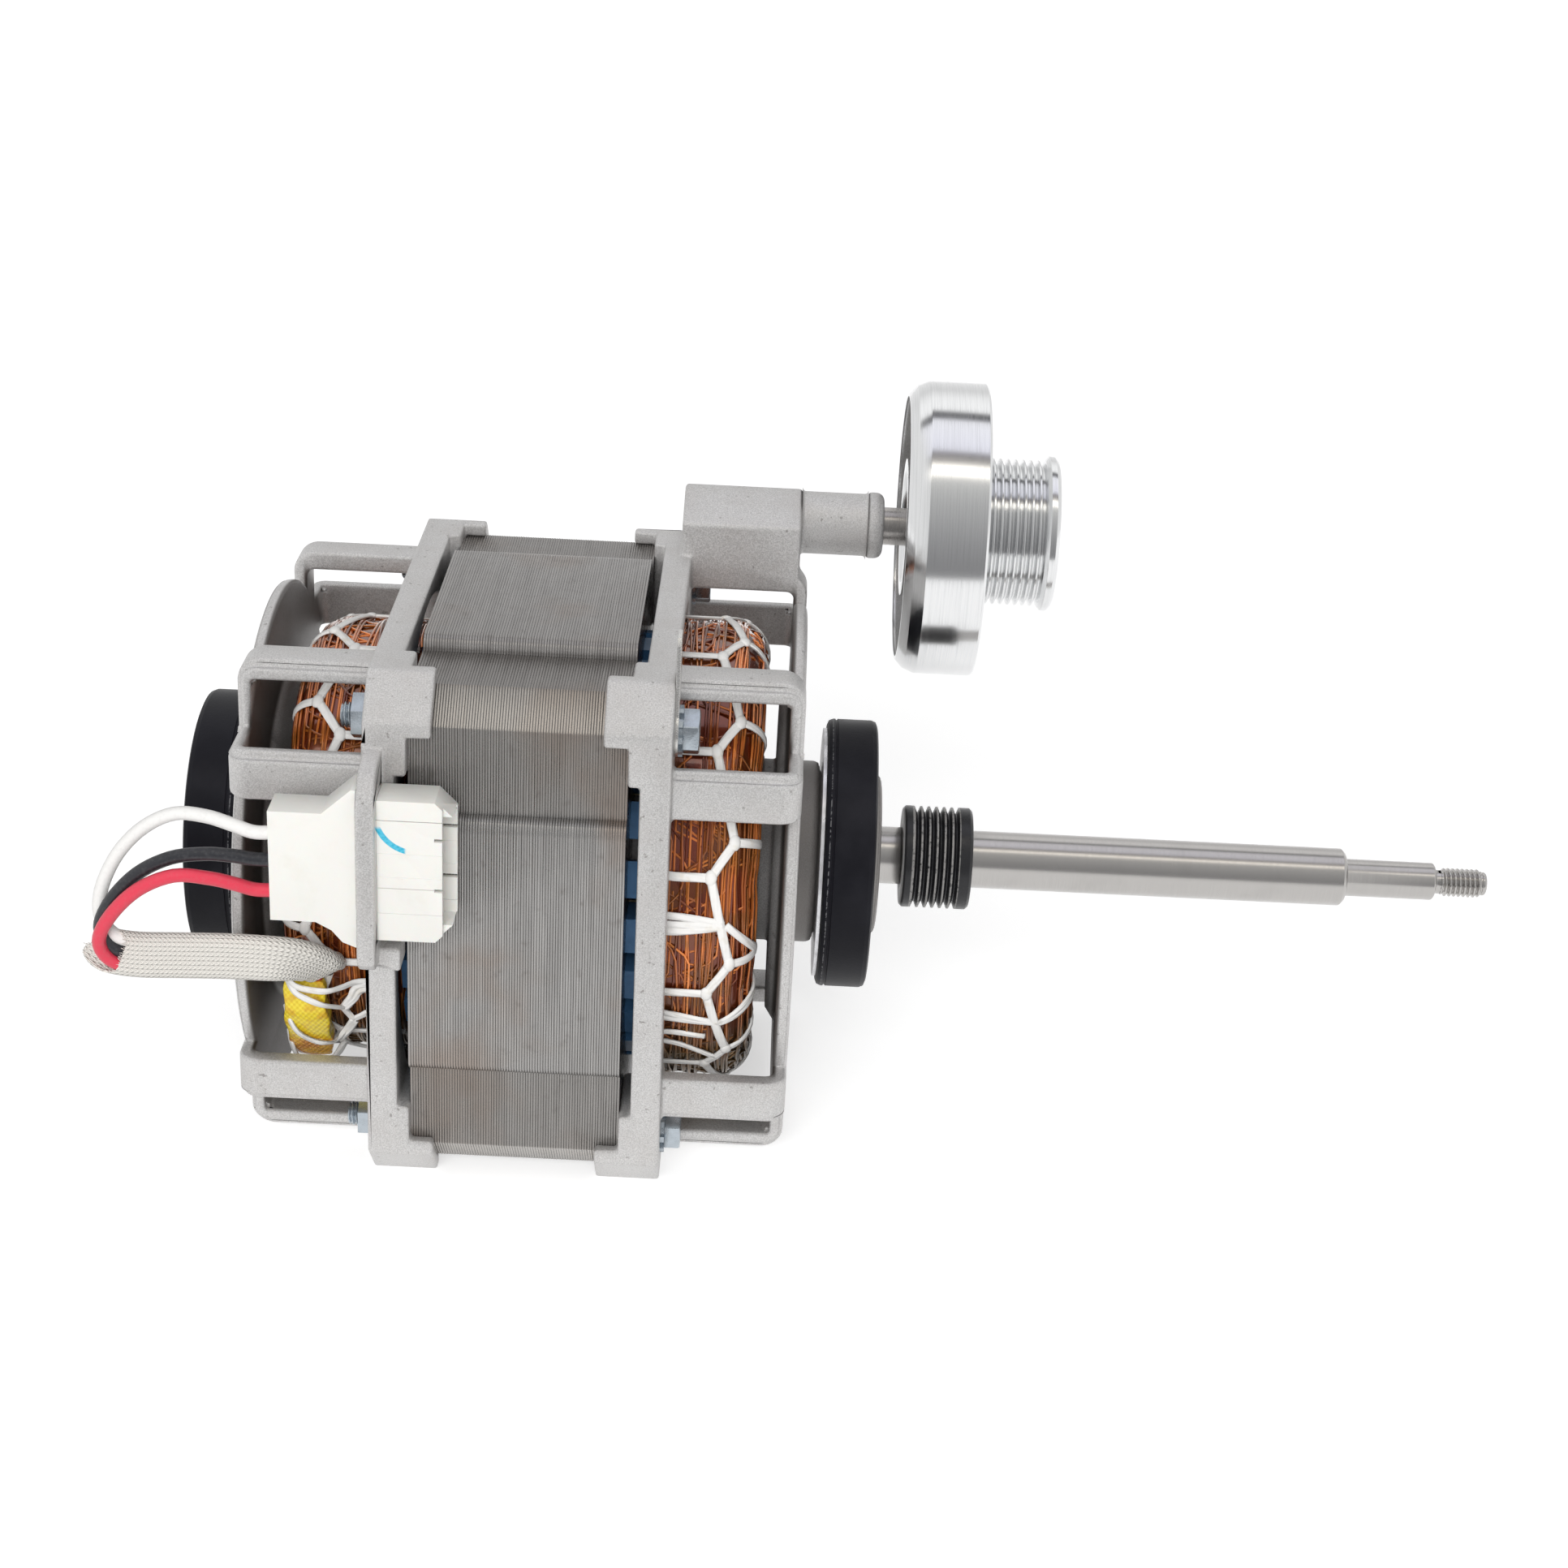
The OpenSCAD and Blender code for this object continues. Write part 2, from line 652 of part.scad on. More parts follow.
// Flange with its corner pads and the lugs that reach over the stack
module shield_flange() {
    difference() {
        union() {
            along_x(flange_gap, flange_len) cut_square(stack_half, lug_cut);
            along_x(0, flange_len) intersection() {
                cut_square(stack_half, lug_cut);
                corner_squares(pad_in);
            }
        }
        rod(open_r, -1, flange_len + 1);
    }
    along_x(-lug_len, 0.5) intersection() {
        difference() {
            cut_square(stack_half, lug_cut);
            stack_outline(fit);
        }
        corner_squares(lug_in);
    }
}

// End wall, collar, hub and neck of a shield
module shield_wall(wall_x, hub_x, collar_x, neck_x) {
    edge = 0.8;
    about_x() polygon([
        [0, collar_x], [collar_r, collar_x], [collar_r, wall_x - wall_t - 2],
        [collar_r + 14, wall_x - wall_t - 2], [collar_r + 17, wall_x - wall_t],
        [disc_r, wall_x - wall_t], [disc_r, wall_x - edge], [disc_r - edge, wall_x],
        [hub_d / 2, wall_x], [hub_d / 2, hub_x - edge], [hub_d / 2 - edge, hub_x],
        [neck_d / 2, hub_x], [neck_d / 2, neck_x - edge], [neck_d / 2 - edge, neck_x],
        [0, neck_x]]);
}

module shield_body(wall_x, hub_h, collar_x, neck_x) {
    shield_flange();
    cage_bars(wall_x);
    shield_wall(wall_x, wall_x + hub_h, collar_x, neck_x);
}

// Bolt holes, bearing seat and shaft bore of a shield
module shield_holes(bearing_x, pocket_x, bore_x) {
    rod(bearing_d / 2 + fit, bearing_x - 1, pocket_x);
    rod(neck_bore_r, pocket_x - 1, bore_x);
    at_corners() rod(bolt_hole_r, -lug_len - 1, flange_len + 1, small_fn);
}

// Seats of the nuts, cut a little into the flange
module nut_seats() {
    at_corners() rod(nut_flange_d / 2 + 0.6, stack_rx - flange_len - 1, nut_x, small_fn);
}

// Plate that holds the connector, with a corner cut away and a slot
module connector_plate() {
    top = connector_z + slot_h / 2 + 5;
    bottom = connector_z - slot_h / 2 - 6;
    inner = -(open_r + 1.2);
    along_x(bracket_x0, bracket_x1) difference() {
        polygon([
            [inner, bottom], [bracket_y + 2, bottom], [bracket_y, bottom + 2],
            [bracket_y, top - 6], [bracket_y + 5, top], [inner, top + 2]]);
        translate([connector_y0 - loose, connector_z - slot_h / 2])
            square([connector_t + 2 * loose, slot_h]);
    }
    along_y(-(stack_half + 7), inner) polygon([
        [bracket_x0 + 0.5, bottom], [bracket_x1 + 4, bottom - 2],
        [bracket_x1 + 4, bottom + 3], [bracket_x1 - 0.5, bottom + 3]]);
}

module rear_shield() {
    color("#b9b7b3") difference() {
        union() {
            difference() {
                at_rear() shield_body(rear_cage, rear_hub_h, rear_bearing_x - 1, rear_neck_x);
                nut_seats();
            }
            connector_plate();
        }
        at_rear() shield_holes(rear_bearing_x, rear_pocket_x, rear_bore_x);
    }
}

// Block on a cage bar and the boss that holds the wheel's axle
module axle_block() {
    along_x(block_x0, boss_x0) hull() {
        translate([axle_y, axle_z]) circle(r = boss_d / 2 + collar_step, $fn = small_fn);
        translate([window_half, cage_half - bar_t]) square([bar_w, bar_t + block_step]);
    }
    translate([0, axle_y, axle_z]) {
        rod(boss_d / 2, boss_x0 - 1, boss_x1 - collar_len, small_fn);
        about_x(small_fn) polygon([
            [0, boss_x1 - collar_len], [boss_d / 2 + collar_step, boss_x1 - collar_len],
            [boss_d / 2 + collar_step, boss_x1 - 1], [boss_d / 2 - 0.6, boss_x1], [0, boss_x1]]);
    }
}

module front_shield() {
    color("#bdbbb7") difference() {
        union() {
            at_front()
                shield_body(front_cage, front_hub_h, front_bearing_x, front_neck_x);
            axle_block();
        }
        at_front() {
            shield_holes(front_bearing_x, front_bearing_x + bearing_w, front_neck_x + 1);
        }
        translate([0, axle_y, axle_z])
            rod(axle_d / 2 + fit / 2, axle_x0 - 0.5, boss_x1 + 1, small_fn);
    }
}

module through_bolts() {
    color("#c9ccd0") at_corners_with_tab() {
        rod(bolt_d / 2, bolt_end_x, head_x + 0.5, small_fn);
        intersection() {
            rod(bolt_af / 2 / cos(30), head_x, head_x + bolt_head_h, 6);
            about_x(small_fn) polygon([
                [0, head_x - 1], [bolt_af, head_x - 1], [bolt_af, head_x + bolt_head_h - 1],
                [bolt_af / 2 - 0.3, head_x + bolt_head_h], [0, head_x + bolt_head_h]]);
        }
    }
}

// At the corner of the earth tab everything above it moves out by the tab's thickness
module at_corners_with_tab() {
    for (y = [-1, 1], z = [-1, 1])
        translate([y < 0 && z > 0 ? tab_t : 0, y * bolt_at, z * bolt_at]) children();
}

module flange_nuts() {
    color("#c9ccd0") at_corners() difference() {
        union() {
            rod(nut_flange_d / 2, nut_x - 1, nut_x, small_fn);
            rod(bolt_af / 2 / cos(30), nut_x - nut_h, nut_x - 0.5, 6);
        }
        rod(bolt_d / 2 + fit, nut_x - nut_h - 1, nut_x + 1, small_fn);
    }
}

module toothed_washers() {
    teeth = 10;
    inner = bolt_d / 2 + 0.1;
    color("#d5d8db") at_corners_with_tab() difference() {
        union() {
            rod(bolt_af / 2 - 0.2, head_x - washer_t, head_x, small_fn);
            for (k = [0:teeth - 1]) rotate([k * 360 / teeth, 0, 0])
                translate([head_x - washer_t, 0, -0.6]) cube([washer_t, bolt_af / 2 + 0.9, 1.2]);
        }
        rod(inner, head_x - washer_t - 1, head_x + 1, small_fn);
    }
}

module earth_tab() {
    x0 = stack_fx + flange_len;
    color("#d5d8db") translate([0, -bolt_at, bolt_at]) difference() {
        union() {
            rod(bolt_af / 2 + 1, x0, x0 + tab_t, small_fn);
            along_x(x0, x0 + tab_t) polygon([
                [-tab_w / 2, 0], [tab_w / 2, 0], [tab_w / 2, tab_len - 1.5],
                [tab_w / 2 - 1, tab_len], [1 - tab_w / 2, tab_len],
                [-tab_w / 2, tab_len - 1.5]]);
        }
        rod(bolt_d / 2 + 0.1, x0 - 1, x0 + tab_t + 1, small_fn);
        translate([0, 0, tab_len - 4]) rod(0.8, x0 - 1, x0 + tab_t + 1, small_fn);
    }
}

// Rubber ring from x0 to x1, with a fine lip line near its inner edge
module rubber_ring(x0, x1, lip_x) {
    r = ring_d / 2;
    bore = neck_d / 2 + fit;
    edge = 1.2;
    color("#1d1e20") about_x() difference() {
        polygon([
            [bore, x0], [r - edge, x0], [r - 0.35, x0 + 0.35], [r, x0 + edge],
            [r, x1 - edge], [r - 0.35, x1 - 0.35], [r - edge, x1], [bore, x1]]);
        translate([r, lip_x]) circle(r = 0.25, $fn = small_fn);
    }
}

module front_ring() { rubber_ring(-ring_w / 2, ring_w / 2, 1.9 - ring_w / 2); }

rear_ring_x = stack_rx - rear_cage - rear_ring_gap;
module rear_ring() { rubber_ring(rear_ring_x - ring_w, rear_ring_x, rear_ring_x - 1.9); }

module ring_plate(x0, x1) {
    color("#cfd1d3") difference() {
        rod(plate_d / 2, x0, x1);
        rod(neck_d / 2 + fit, x0 - 1, x1 + 1);
    }
}
module front_ring_plate() { ring_plate(-ring_w / 2 - plate_t, -ring_w / 2); }
module rear_ring_plate() { ring_plate(rear_ring_x, rear_ring_x + plate_t); }

// Sizes inside a ball bearing, from its bore's and its outer radius
function ball_r(bore, out) = 0.285 * (out - bore);
function ball_circle(bore, out) = (bore + out) / 2;
function land_in(bore, out) = bore + 0.32 * (out - bore);
function land_out(bore, out) = out - 0.31 * (out - bore);

// Outer race with its two side shields, from x0 to x0 + w
module bearing_outer(bore, out, x0, w) {
    shield_r = land_in(bore, out) + loose;
    color("#b4b7ba") about_x() difference() {
        translate([shield_r, x0]) square([out - shield_r, w]);
        translate([shield_r - 1, x0 + 0.8])
            square([land_out(bore, out) - shield_r + 1, w - 1.6]);
        translate([shield_r - 1, x0 - 1]) square([land_out(bore, out) - shield_r + 1, 1.4]);
        translate([shield_r - 1, x0 + w - 0.4])
            square([land_out(bore, out) - shield_r + 1, 1.4]);
        translate([ball_circle(bore, out), x0 + w / 2])
            circle(r = ball_r(bore, out) + run, $fn = 64);
    }
}

module bearing_inner(bore, out, x0, w) {
    color("#c4c7ca") about_x() difference() {
        translate([bore + fit, x0]) square([land_in(bore, out) - bore - fit, w]);
        translate([ball_circle(bore, out), x0 + w / 2])
            circle(r = ball_r(bore, out) + run, $fn = 64);
    }
}

module bearing_balls(bore, out, x0, w) {
    n = floor(180 / asin(ball_r(bore, out) * 1.2 / ball_circle(bore, out)));
    color("#dfe2e5") for (k = [0:n - 1]) rotate([k * 360 / n, 0, 0])
        translate([x0 + w / 2, ball_circle(bore, out), 0])
            sphere(r = ball_r(bore, out), $fn = small_fn);
}

module front_bearing_outer() {
    at_front() bearing_outer(shaft_r, bearing_d / 2, front_bearing_x, bearing_w);
}
module front_bearing_balls() {
    at_front() bearing_balls(shaft_r, bearing_d / 2, front_bearing_x, bearing_w);
}
module front_bearing_inner() {
    at_front() bearing_inner(shaft_r, bearing_d / 2, front_bearing_x, bearing_w);
}
module rear_bearing_outer() {
    at_rear() bearing_outer(shaft_r, bearing_d / 2, rear_bearing_x, bearing_w);
}
module rear_bearing_balls() {
    at_rear() bearing_balls(shaft_r, bearing_d / 2, rear_bearing_x, bearing_w);
}
module rear_bearing_inner() {
    at_rear() bearing_inner(shaft_r, bearing_d / 2, rear_bearing_x, bearing_w);
}

// Thin washer with three waves, which presses on the rear bearing
module wave_washer() {
    steps = 48;
    t = 0.3;
    swing = (washer_room - t) / 2 - run / 2;
    mid_x = rear_bearing_x + bearing_w + washer_room / 2;
    radii = [bearing_d / 2 - 3, bearing_d / 2 - 0.4];
    pts = [
        for (i = [0:steps - 1], q = [[0, -1], [1, -1], [1, 1], [0, 1]])
            let (a = 360 * i / steps, r = radii[q[0]])
            [mid_x + swing * sin(3 * a) + q[1] * t / 2, r * cos(a), r * sin(a)]];
    faces = [
        for (i = [0:steps - 1], k = [0:3], h = [0, 1])
            let (j = (i + 1) % steps, a = 4 * i + k, b = 4 * i + (k + 1) % 4,
                c = 4 * j + k, d = 4 * j + (k + 1) % 4)
            h == 0 ? [a, b, c] : [b, d, c]];
    color("#9fa3a8") at_rear() polyhedron(pts, faces);
}

module rotor_core() {
    color("#7d7a76") difference() {
        rod(rotor_r, stack_rx, stack_fx);
        rod(core_bore_d / 2 + fit, stack_rx - 1, stack_fx + 1);
        for (k = [0:rotor_bars - 1]) rotate([k * 360 / rotor_bars, 0, 0])
            translate([0, bar_circle_r, 0])
                rod(rotor_bar_d / 2 + fit, stack_rx - 1, stack_fx + 1, small_fn);
    }
}

// End ring and blades of the rotor's cage, outwards from the core's end face
module rotor_end() {
    difference() {
        rod(end_ring_r, 0, end_ring_t);
        rod(end_ring_in_r, -1, end_ring_t + 1);
    }
    for (k = [0:blade_count - 1]) rotate([(k + 0.5) * 360 / blade_count, 0, 0])
        translate([end_ring_t - 0.5, end_ring_in_r + 1, -0.9])
            cube([blade_len + 0.5, end_ring_r - end_ring_in_r - 2, 1.8]);
}

module rotor_cage() {
    color("#c2c4c6") {
        at_front() rotor_end();
        at_rear() rotor_end();
        for (k = [0:rotor_bars - 1]) rotate([k * 360 / rotor_bars, 0, 0])
            translate([0, bar_circle_r, 0])
                rod(rotor_bar_d / 2, stack_rx - 0.5, stack_fx + 0.5, small_fn);
    }
}

module rotor_shaft() {
    seat_r = seat_d / 2;
    thread_r = thread_d / 2;
    color("#a9abad") about_x() polygon([
        [0, shaft_rx], [shaft_r - 0.6, shaft_rx], [shaft_r, shaft_rx + 0.6],
        [shaft_r, shoulder_rx], [core_bore_d / 2, shoulder_rx],
        [core_bore_d / 2, shoulder_fx], [shaft_r, shoulder_fx],
        [shaft_r, shaft_end - 0.8], [shaft_r - 0.8, shaft_end],
        [seat_r, shaft_end], [seat_r, seat_x - 0.4], [seat_r - 0.4, seat_x],
        [thread_r - 0.5, seat_x], [thread_r - 0.5, seat_x + 1.4], [thread_r, seat_x + 1.9],
        [thread_r, thread_x - 1], [thread_r - 1, thread_x], [0, thread_x]]);
}

// Points [radius, x] of a row of belt grooves that starts at x
function groove_row(r, x, count) = [
    for (k = [0:count - 1], q = [[0, 0.12], [groove_depth, 0.42], [groove_depth, 0.58], [0, 0.88]])
        [r - q[0], x + (k + q[1]) * groove_pitch]];

module motor_pulley() {
    r = motor_pulley_d / 2;
    x0 = motor_pulley_x;
    x1 = motor_pulley_x1;
    row_x = x0 + (motor_pulley_len - motor_grooves * groove_pitch) / 2 - 0.2;
    edge = 0.6;
    color("#17181a") about_x() polygon(concat(
        [[shaft_r + fit, x0], [r - edge, x0], [r, x0 + edge]],
        groove_row(r, row_x, motor_grooves),
        [[r, x1 - edge], [r - edge, x1], [shaft_r + fit, x1]]));
}

module wheel_axle() {
    r = axle_d / 2;
    groove_r = r - 0.5;
    color("#9b9c9d") translate([0, axle_y, axle_z]) about_x(small_fn) polygon([
        [0, axle_x0], [r, axle_x0], [r, clip_x - fit], [groove_r, clip_x - fit],
        [groove_r, clip_x + clip_t + fit], [r, clip_x + clip_t + fit],
        [r, axle_x1 - 0.5], [r - 0.5, axle_x1], [0, axle_x1]]);
}

// Wheel with a recess on its left side, and the ribbed pulley on its right
module belt_wheel() {
    r = wheel_d / 2;
    hub_r = wheel_hub_d / 2;
    drum_r = drum_pulley_d / 2;
    flange_r = end_flange_d / 2;
    web_x = wheel_x1 - wheel_web;
    hub_x0 = wheel_x0 + 0.4;
    bore = wheel_bore_r + fit;
    step_r = wheel_bore_r - 1;
    lip_r = wheel_bore_r + 1.2;
    left_end = wheel_bearing_x0 + wheel_bearing_w;
    color("#c9cbcd") translate([0, axle_y, axle_z]) {
        about_x() polygon(concat(
            [[r - wheel_rim, web_x], [r - wheel_rim, wheel_x0], [r - 2.8, wheel_x0],
            [r - 1, wheel_x0 + 1.7], [r, wheel_x0 + 4.2], [r, wheel_x1 - 0.5],
            [r - 0.5, wheel_x1], [drum_r - groove_depth, wheel_x1],
            [drum_r - groove_depth, drum_x0]],
            groove_row(drum_r, drum_x0, drum_grooves),
            [[flange_r, drum_x1 + 0.6], [flange_r, pulley_x1 - 0.8],
            [flange_r - 0.8, pulley_x1], [bore, pulley_x1], [bore, wheel_bearing_x1],
            [step_r, wheel_bearing_x1], [step_r, left_end], [bore, left_end],
            [bore, hub_x0 + 1.5], [lip_r, hub_x0], [hub_r, hub_x0], [hub_r, web_x]]));
        for (k = [0:wheel_ribs - 1]) rotate([90 + k * 360 / wheel_ribs, 0, 0])
            translate([wheel_x0 + 2.2, hub_r - 0.5, -1.1])
                cube([web_x - wheel_x0 - 1.7, r - wheel_rim - hub_r + 1, 2.2]);
    }
}

// Children at both bearings of the wheel, which are drawn from x = 0
module at_wheel_bearings() {
    for (x = [wheel_bearing_x0, wheel_bearing_x1])
        translate([x, axle_y, axle_z]) children();
}
module wheel_bearing_outer() {
    at_wheel_bearings() bearing_outer(axle_d / 2, wheel_bore_r, 0, wheel_bearing_w);
}
module wheel_bearing_balls() {
    at_wheel_bearings() bearing_balls(axle_d / 2, wheel_bore_r, 0, wheel_bearing_w);
}
module wheel_bearing_inner() {
    at_wheel_bearings() bearing_inner(axle_d / 2, wheel_bore_r, 0, wheel_bearing_w);
}

module wheel_spacer() {
    x0 = wheel_bearing_x0 + wheel_bearing_w;
    color("#aaaaaa") translate([0, axle_y, axle_z]) difference() {
        rod(spacer_r, x0, wheel_bearing_x1);
        rod(axle_d / 2 + loose, x0 - 1, wheel_bearing_x1 + 1);
    }
}

// Open clip in the axle's groove
module wheel_clip() {
    color("#55585c") translate([0, axle_y, axle_z]) difference() {
        rod(axle_d / 2 + 1.6, clip_x, clip_x + clip_t, small_fn);
        rod(axle_d / 2 - 0.5 + fit, clip_x - 1, clip_x + clip_t + 1, small_fn);
        translate([clip_x - 1, -1.6, 0]) cube([clip_t + 2, 3.2, axle_d]);
    }
}

// Housing outline in X and Z: wire side, shoulders on the plate, and socket side
module housing_outline() {
    wh = wire_side_h / 2;
    sh = shoulder_h / 2;
    kh = socket_h / 2;
    x0 = bracket_x0;
    translate([0, connector_z]) polygon([
        [connector_x0, -wh], [x0 - 8, -wh], [x0 - 5, -wh - 1.6], [x0 - 3, -sh + 1],
        [x0 - 0.5, -sh], [x0 - loose, -sh], [x0 - loose, -kh], [connector_x1 - 3.4, -kh],
        [connector_x1, 3.4 - kh], [connector_x1, kh - 3.4], [connector_x1 - 3.4, kh],
        [x0 - loose, kh], [x0 - loose, sh], [x0 - 1, sh], [x0 - 6.5, wh], [connector_x0, wh]]);
}

module connector_housing() {
    inner_y0 = connector_y0 + connector_wall;
    inner_y1 = connector_y1 - connector_wall;
    inner_h = socket_h - 2 * connector_wall - 4;
    past_x = connector_x1 + 1;
    lip_x = connector_x1 - near_lip;
    latch_x = connector_x1 - latch_slot_len;
    color("#f1f0ea") difference() {
        along_y(connector_y0, connector_y1) housing_outline();
        // Hollow of the socket, open at its end
        translate([socket_floor_x, inner_y0, connector_z - inner_h / 2])
            cube([past_x - socket_floor_x, inner_y1 - inner_y0, inner_h]);
        // The near wall of the socket ends earlier than the far one
        translate([lip_x, connector_y0 - 1, connector_z - slot_h])
            cube([past_x - lip_x, connector_wall + 1 + loose, 2 * slot_h]);
        // Two latch slots through both walls
        for (z = latch_zs) translate([latch_x, connector_y0 - 1, z])
            cube([past_x - latch_x, connector_t + 2, latch_slot_h]);
        // Seats of the terminals
        for (z = terminal_zs) translate([connector_x0 + 3, connector_mid_y - 0.45, z - 1.25])
            cube([socket_floor_x - connector_x0 - 2, 0.9, 2.5]);
    }
}

module connector_terminals() {
    color("#c9a74a") for (z = terminal_zs)
        translate([connector_x0 + 3.4, connector_mid_y - 0.4, z - 1.2])
            cube([socket_floor_x - connector_x0 + 3, 0.8, 2.4]);
}

// Frame of a cord at each point: along it, across it upwards, and across it outwards
function unit(v) = v / norm(v);
function heading(p, i) = unit(p[min(i + 1, len(p) - 1)] - p[max(i - 1, 0)]);
function upward(t) = unit(cross(t, [0, 1, 0]));

// Ring of a section's points [up, out] round point c
function ring_at(c, t, section) =
    let (n = upward(t), b = cross(n, t)) [for (q = section) c + q[0] * n + q[1] * b];

// Stadium with a half straight and an end radius, as m points
function stadium(straight, r, m = 12) = [
    for (k = [0:m - 1])
        let (a = 360 * (k + 0.5) / m) [(cos(a) > 0 ? straight : -straight) + r * cos(a), r * sin(a)]];

module cord_tube(route, section) {
    n = len(route);
    m = len(section);
    pts = [for (i = [0:n - 1]) each ring_at(route[i], heading(route, i), section)];
    polyhedron(pts, concat(
        side_faces(n, m, 0, true), cap_faces(m, 0, true), cap_faces(m, (n - 1) * m)));
}

// A lead runs along its own route into the sleeve's mouth, then in the sleeve beside the
// others, to the winding
lead_pitch = lead_d + 0.05;
lead_end = [-101.7, -44.4, -10.4];
function in_sleeve(side) = [
    for (i = [2:len(sleeve_route) - 1])
        sleeve_route[i] + side * lead_pitch * upward(heading(sleeve_route, i))];
function lead_route(route, side) =
    concat(route, in_sleeve(side), [lead_end + side * lead_pitch * [0.8, 0, 0.5]]);
lead_section = [for (k = [0:7]) lead_d / 2 * [cos(45 * k), sin(45 * k)]];

module lead_white() { color("#f4f2ee") cord_tube(lead_route(white_route, 1), lead_section); }
module lead_black() { color("#1b1c1f") cord_tube(lead_route(black_route, 0), lead_section); }
module lead_red() { color("#e2415a") cord_tube(lead_route(red_route, -1), lead_section); }

module lead_sleeve() {
    n = len(sleeve_route);
    m = 12;
    inner = stadium(lead_pitch, lead_d / 2 + 0.15, m);
    outer = stadium(lead_pitch, lead_d / 2 + 0.15 + sleeve_wall, m);
    s = n * m;
    pts = [
        for (section = [outer, inner], i = [0:n - 1])
            each ring_at(sleeve_route[i], heading(sleeve_route, i), section)];
    last = (n - 1) * m;
    rims = [
        for (k = [0:m - 1], h = [0, 1])
            let (j = (k + 1) % m)
            each [
                h == 0 ? [j, k, s + k] : [j, s + k, s + j],
                h == 0 ? [last + k, last + j, s + last + j]
                    : [last + k, s + last + j, s + last + k]]];
    color("#d8d3c8")
        polyhedron(pts, concat(side_faces(n, m, 0, true), side_faces(n, m, s), rims));
}

stator_core();
slot_liners();
slot_wedges();
winding_core();
rear_turns();
front_turns();
rear_lacing();
front_lacing();
thermal_protector();
rear_shield();
front_shield();
through_bolts();
flange_nuts();
toothed_washers();
earth_tab();
rear_ring();
front_ring();
rear_ring_plate();
front_ring_plate();
rear_bearing_outer();
rear_bearing_balls();
rear_bearing_inner();
front_bearing_outer();
front_bearing_balls();
front_bearing_inner();
wave_washer();
rotor_core();
rotor_cage();
rotor_shaft();
motor_pulley();
wheel_axle();
belt_wheel();
wheel_bearing_outer();
wheel_bearing_balls();
wheel_bearing_inner();
wheel_spacer();
wheel_clip();
connector_housing();
connector_terminals();
lead_white();
lead_black();
lead_red();
lead_sleeve();
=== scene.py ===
# %% [markdown]
# A dryer motor, dressed for its portrait.
# The solids of the motor come from the frame at their real size and are never moved.
# Everything here is worked out from them, in metres: X runs along the shaft towards its
# long end, Y away from the connector, and Z up.

import math
import random
from contextlib import contextmanager

import bpy
import numpy as np
from mathutils import Matrix, Vector


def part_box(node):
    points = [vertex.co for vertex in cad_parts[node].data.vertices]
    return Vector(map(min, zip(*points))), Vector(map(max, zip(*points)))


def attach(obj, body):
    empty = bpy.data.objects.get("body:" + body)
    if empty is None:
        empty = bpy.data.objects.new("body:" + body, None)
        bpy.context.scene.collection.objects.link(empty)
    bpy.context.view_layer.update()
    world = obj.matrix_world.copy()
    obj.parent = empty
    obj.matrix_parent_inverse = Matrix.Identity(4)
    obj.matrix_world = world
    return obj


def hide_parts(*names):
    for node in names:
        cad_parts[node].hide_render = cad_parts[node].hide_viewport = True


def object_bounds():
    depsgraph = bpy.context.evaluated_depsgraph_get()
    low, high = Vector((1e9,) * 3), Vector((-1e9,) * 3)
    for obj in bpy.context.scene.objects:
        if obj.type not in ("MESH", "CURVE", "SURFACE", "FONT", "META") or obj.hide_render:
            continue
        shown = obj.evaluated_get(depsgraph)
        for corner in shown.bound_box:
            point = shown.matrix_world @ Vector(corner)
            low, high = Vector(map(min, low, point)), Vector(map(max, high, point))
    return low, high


MM = 0.001


def in_mm(box):
    return [round(value / MM, 1) for corner in box for value in corner]


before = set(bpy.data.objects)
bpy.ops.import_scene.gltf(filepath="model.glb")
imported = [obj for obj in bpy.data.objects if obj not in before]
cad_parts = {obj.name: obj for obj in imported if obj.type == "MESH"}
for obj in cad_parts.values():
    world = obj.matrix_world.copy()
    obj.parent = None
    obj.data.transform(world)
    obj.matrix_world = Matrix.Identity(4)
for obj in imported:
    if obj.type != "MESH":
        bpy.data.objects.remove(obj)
cad_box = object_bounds()
print("solids:", len(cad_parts), "box in mm:", in_mm(cad_box))

# %% [markdown]
# The camera comes first. The photographer stood half a metre away and a little above the
# motor, with the connector's side towards the lens and the camera slightly tilted.
# A long lens keeps the shaft almost parallel, and the small shift only frames the picture.

# %% Camera at the photograph's viewing angle
CAMERA_AT = Vector((-19.73, -533.46, 241.76)) * MM
LOOK_DOWN = math.radians(25.12)
TILT = math.radians(2.79)
LENS_MM = 64.06
SENSOR_MM = 36
FRAME_SHIFT = (0.0218, 0.0640)
NEAR, FAR = 0.01, 20

lens = bpy.data.cameras.new("portrait_lens")
lens.lens = LENS_MM
lens.sensor_width = SENSOR_MM
lens.shift_x, lens.shift_y = FRAME_SHIFT
lens.clip_start, lens.clip_end = NEAR, FAR
camera = bpy.data.objects.new("portrait_camera", lens)
bpy.context.scene.collection.objects.link(camera)
camera.matrix_world = (
    Matrix.Translation(CAMERA_AT)
    @ Matrix.Rotation(math.pi / 2 - LOOK_DOWN, 4, "X")
    @ Matrix.Rotation(TILT, 4, "Z")
)
bpy.context.scene.camera = camera
print("camera at", tuple(round(v, 3) for v in CAMERA_AT))

# %% [markdown]
# Shader sums are easier to read as plain expressions. A small class stands for one output
# of a node, so that mask * 0.5 + 0.2 adds the Math nodes by itself. A finish is a material
# while it is being made, with methods for its patterns, its coats of colour and its bumps.


# %% A finish and its sums
def by_math(operation):
    """A method that adds one Math node."""
    return lambda *values: values[0].finish.add("ShaderNodeMath", {"operation": operation}, *values)


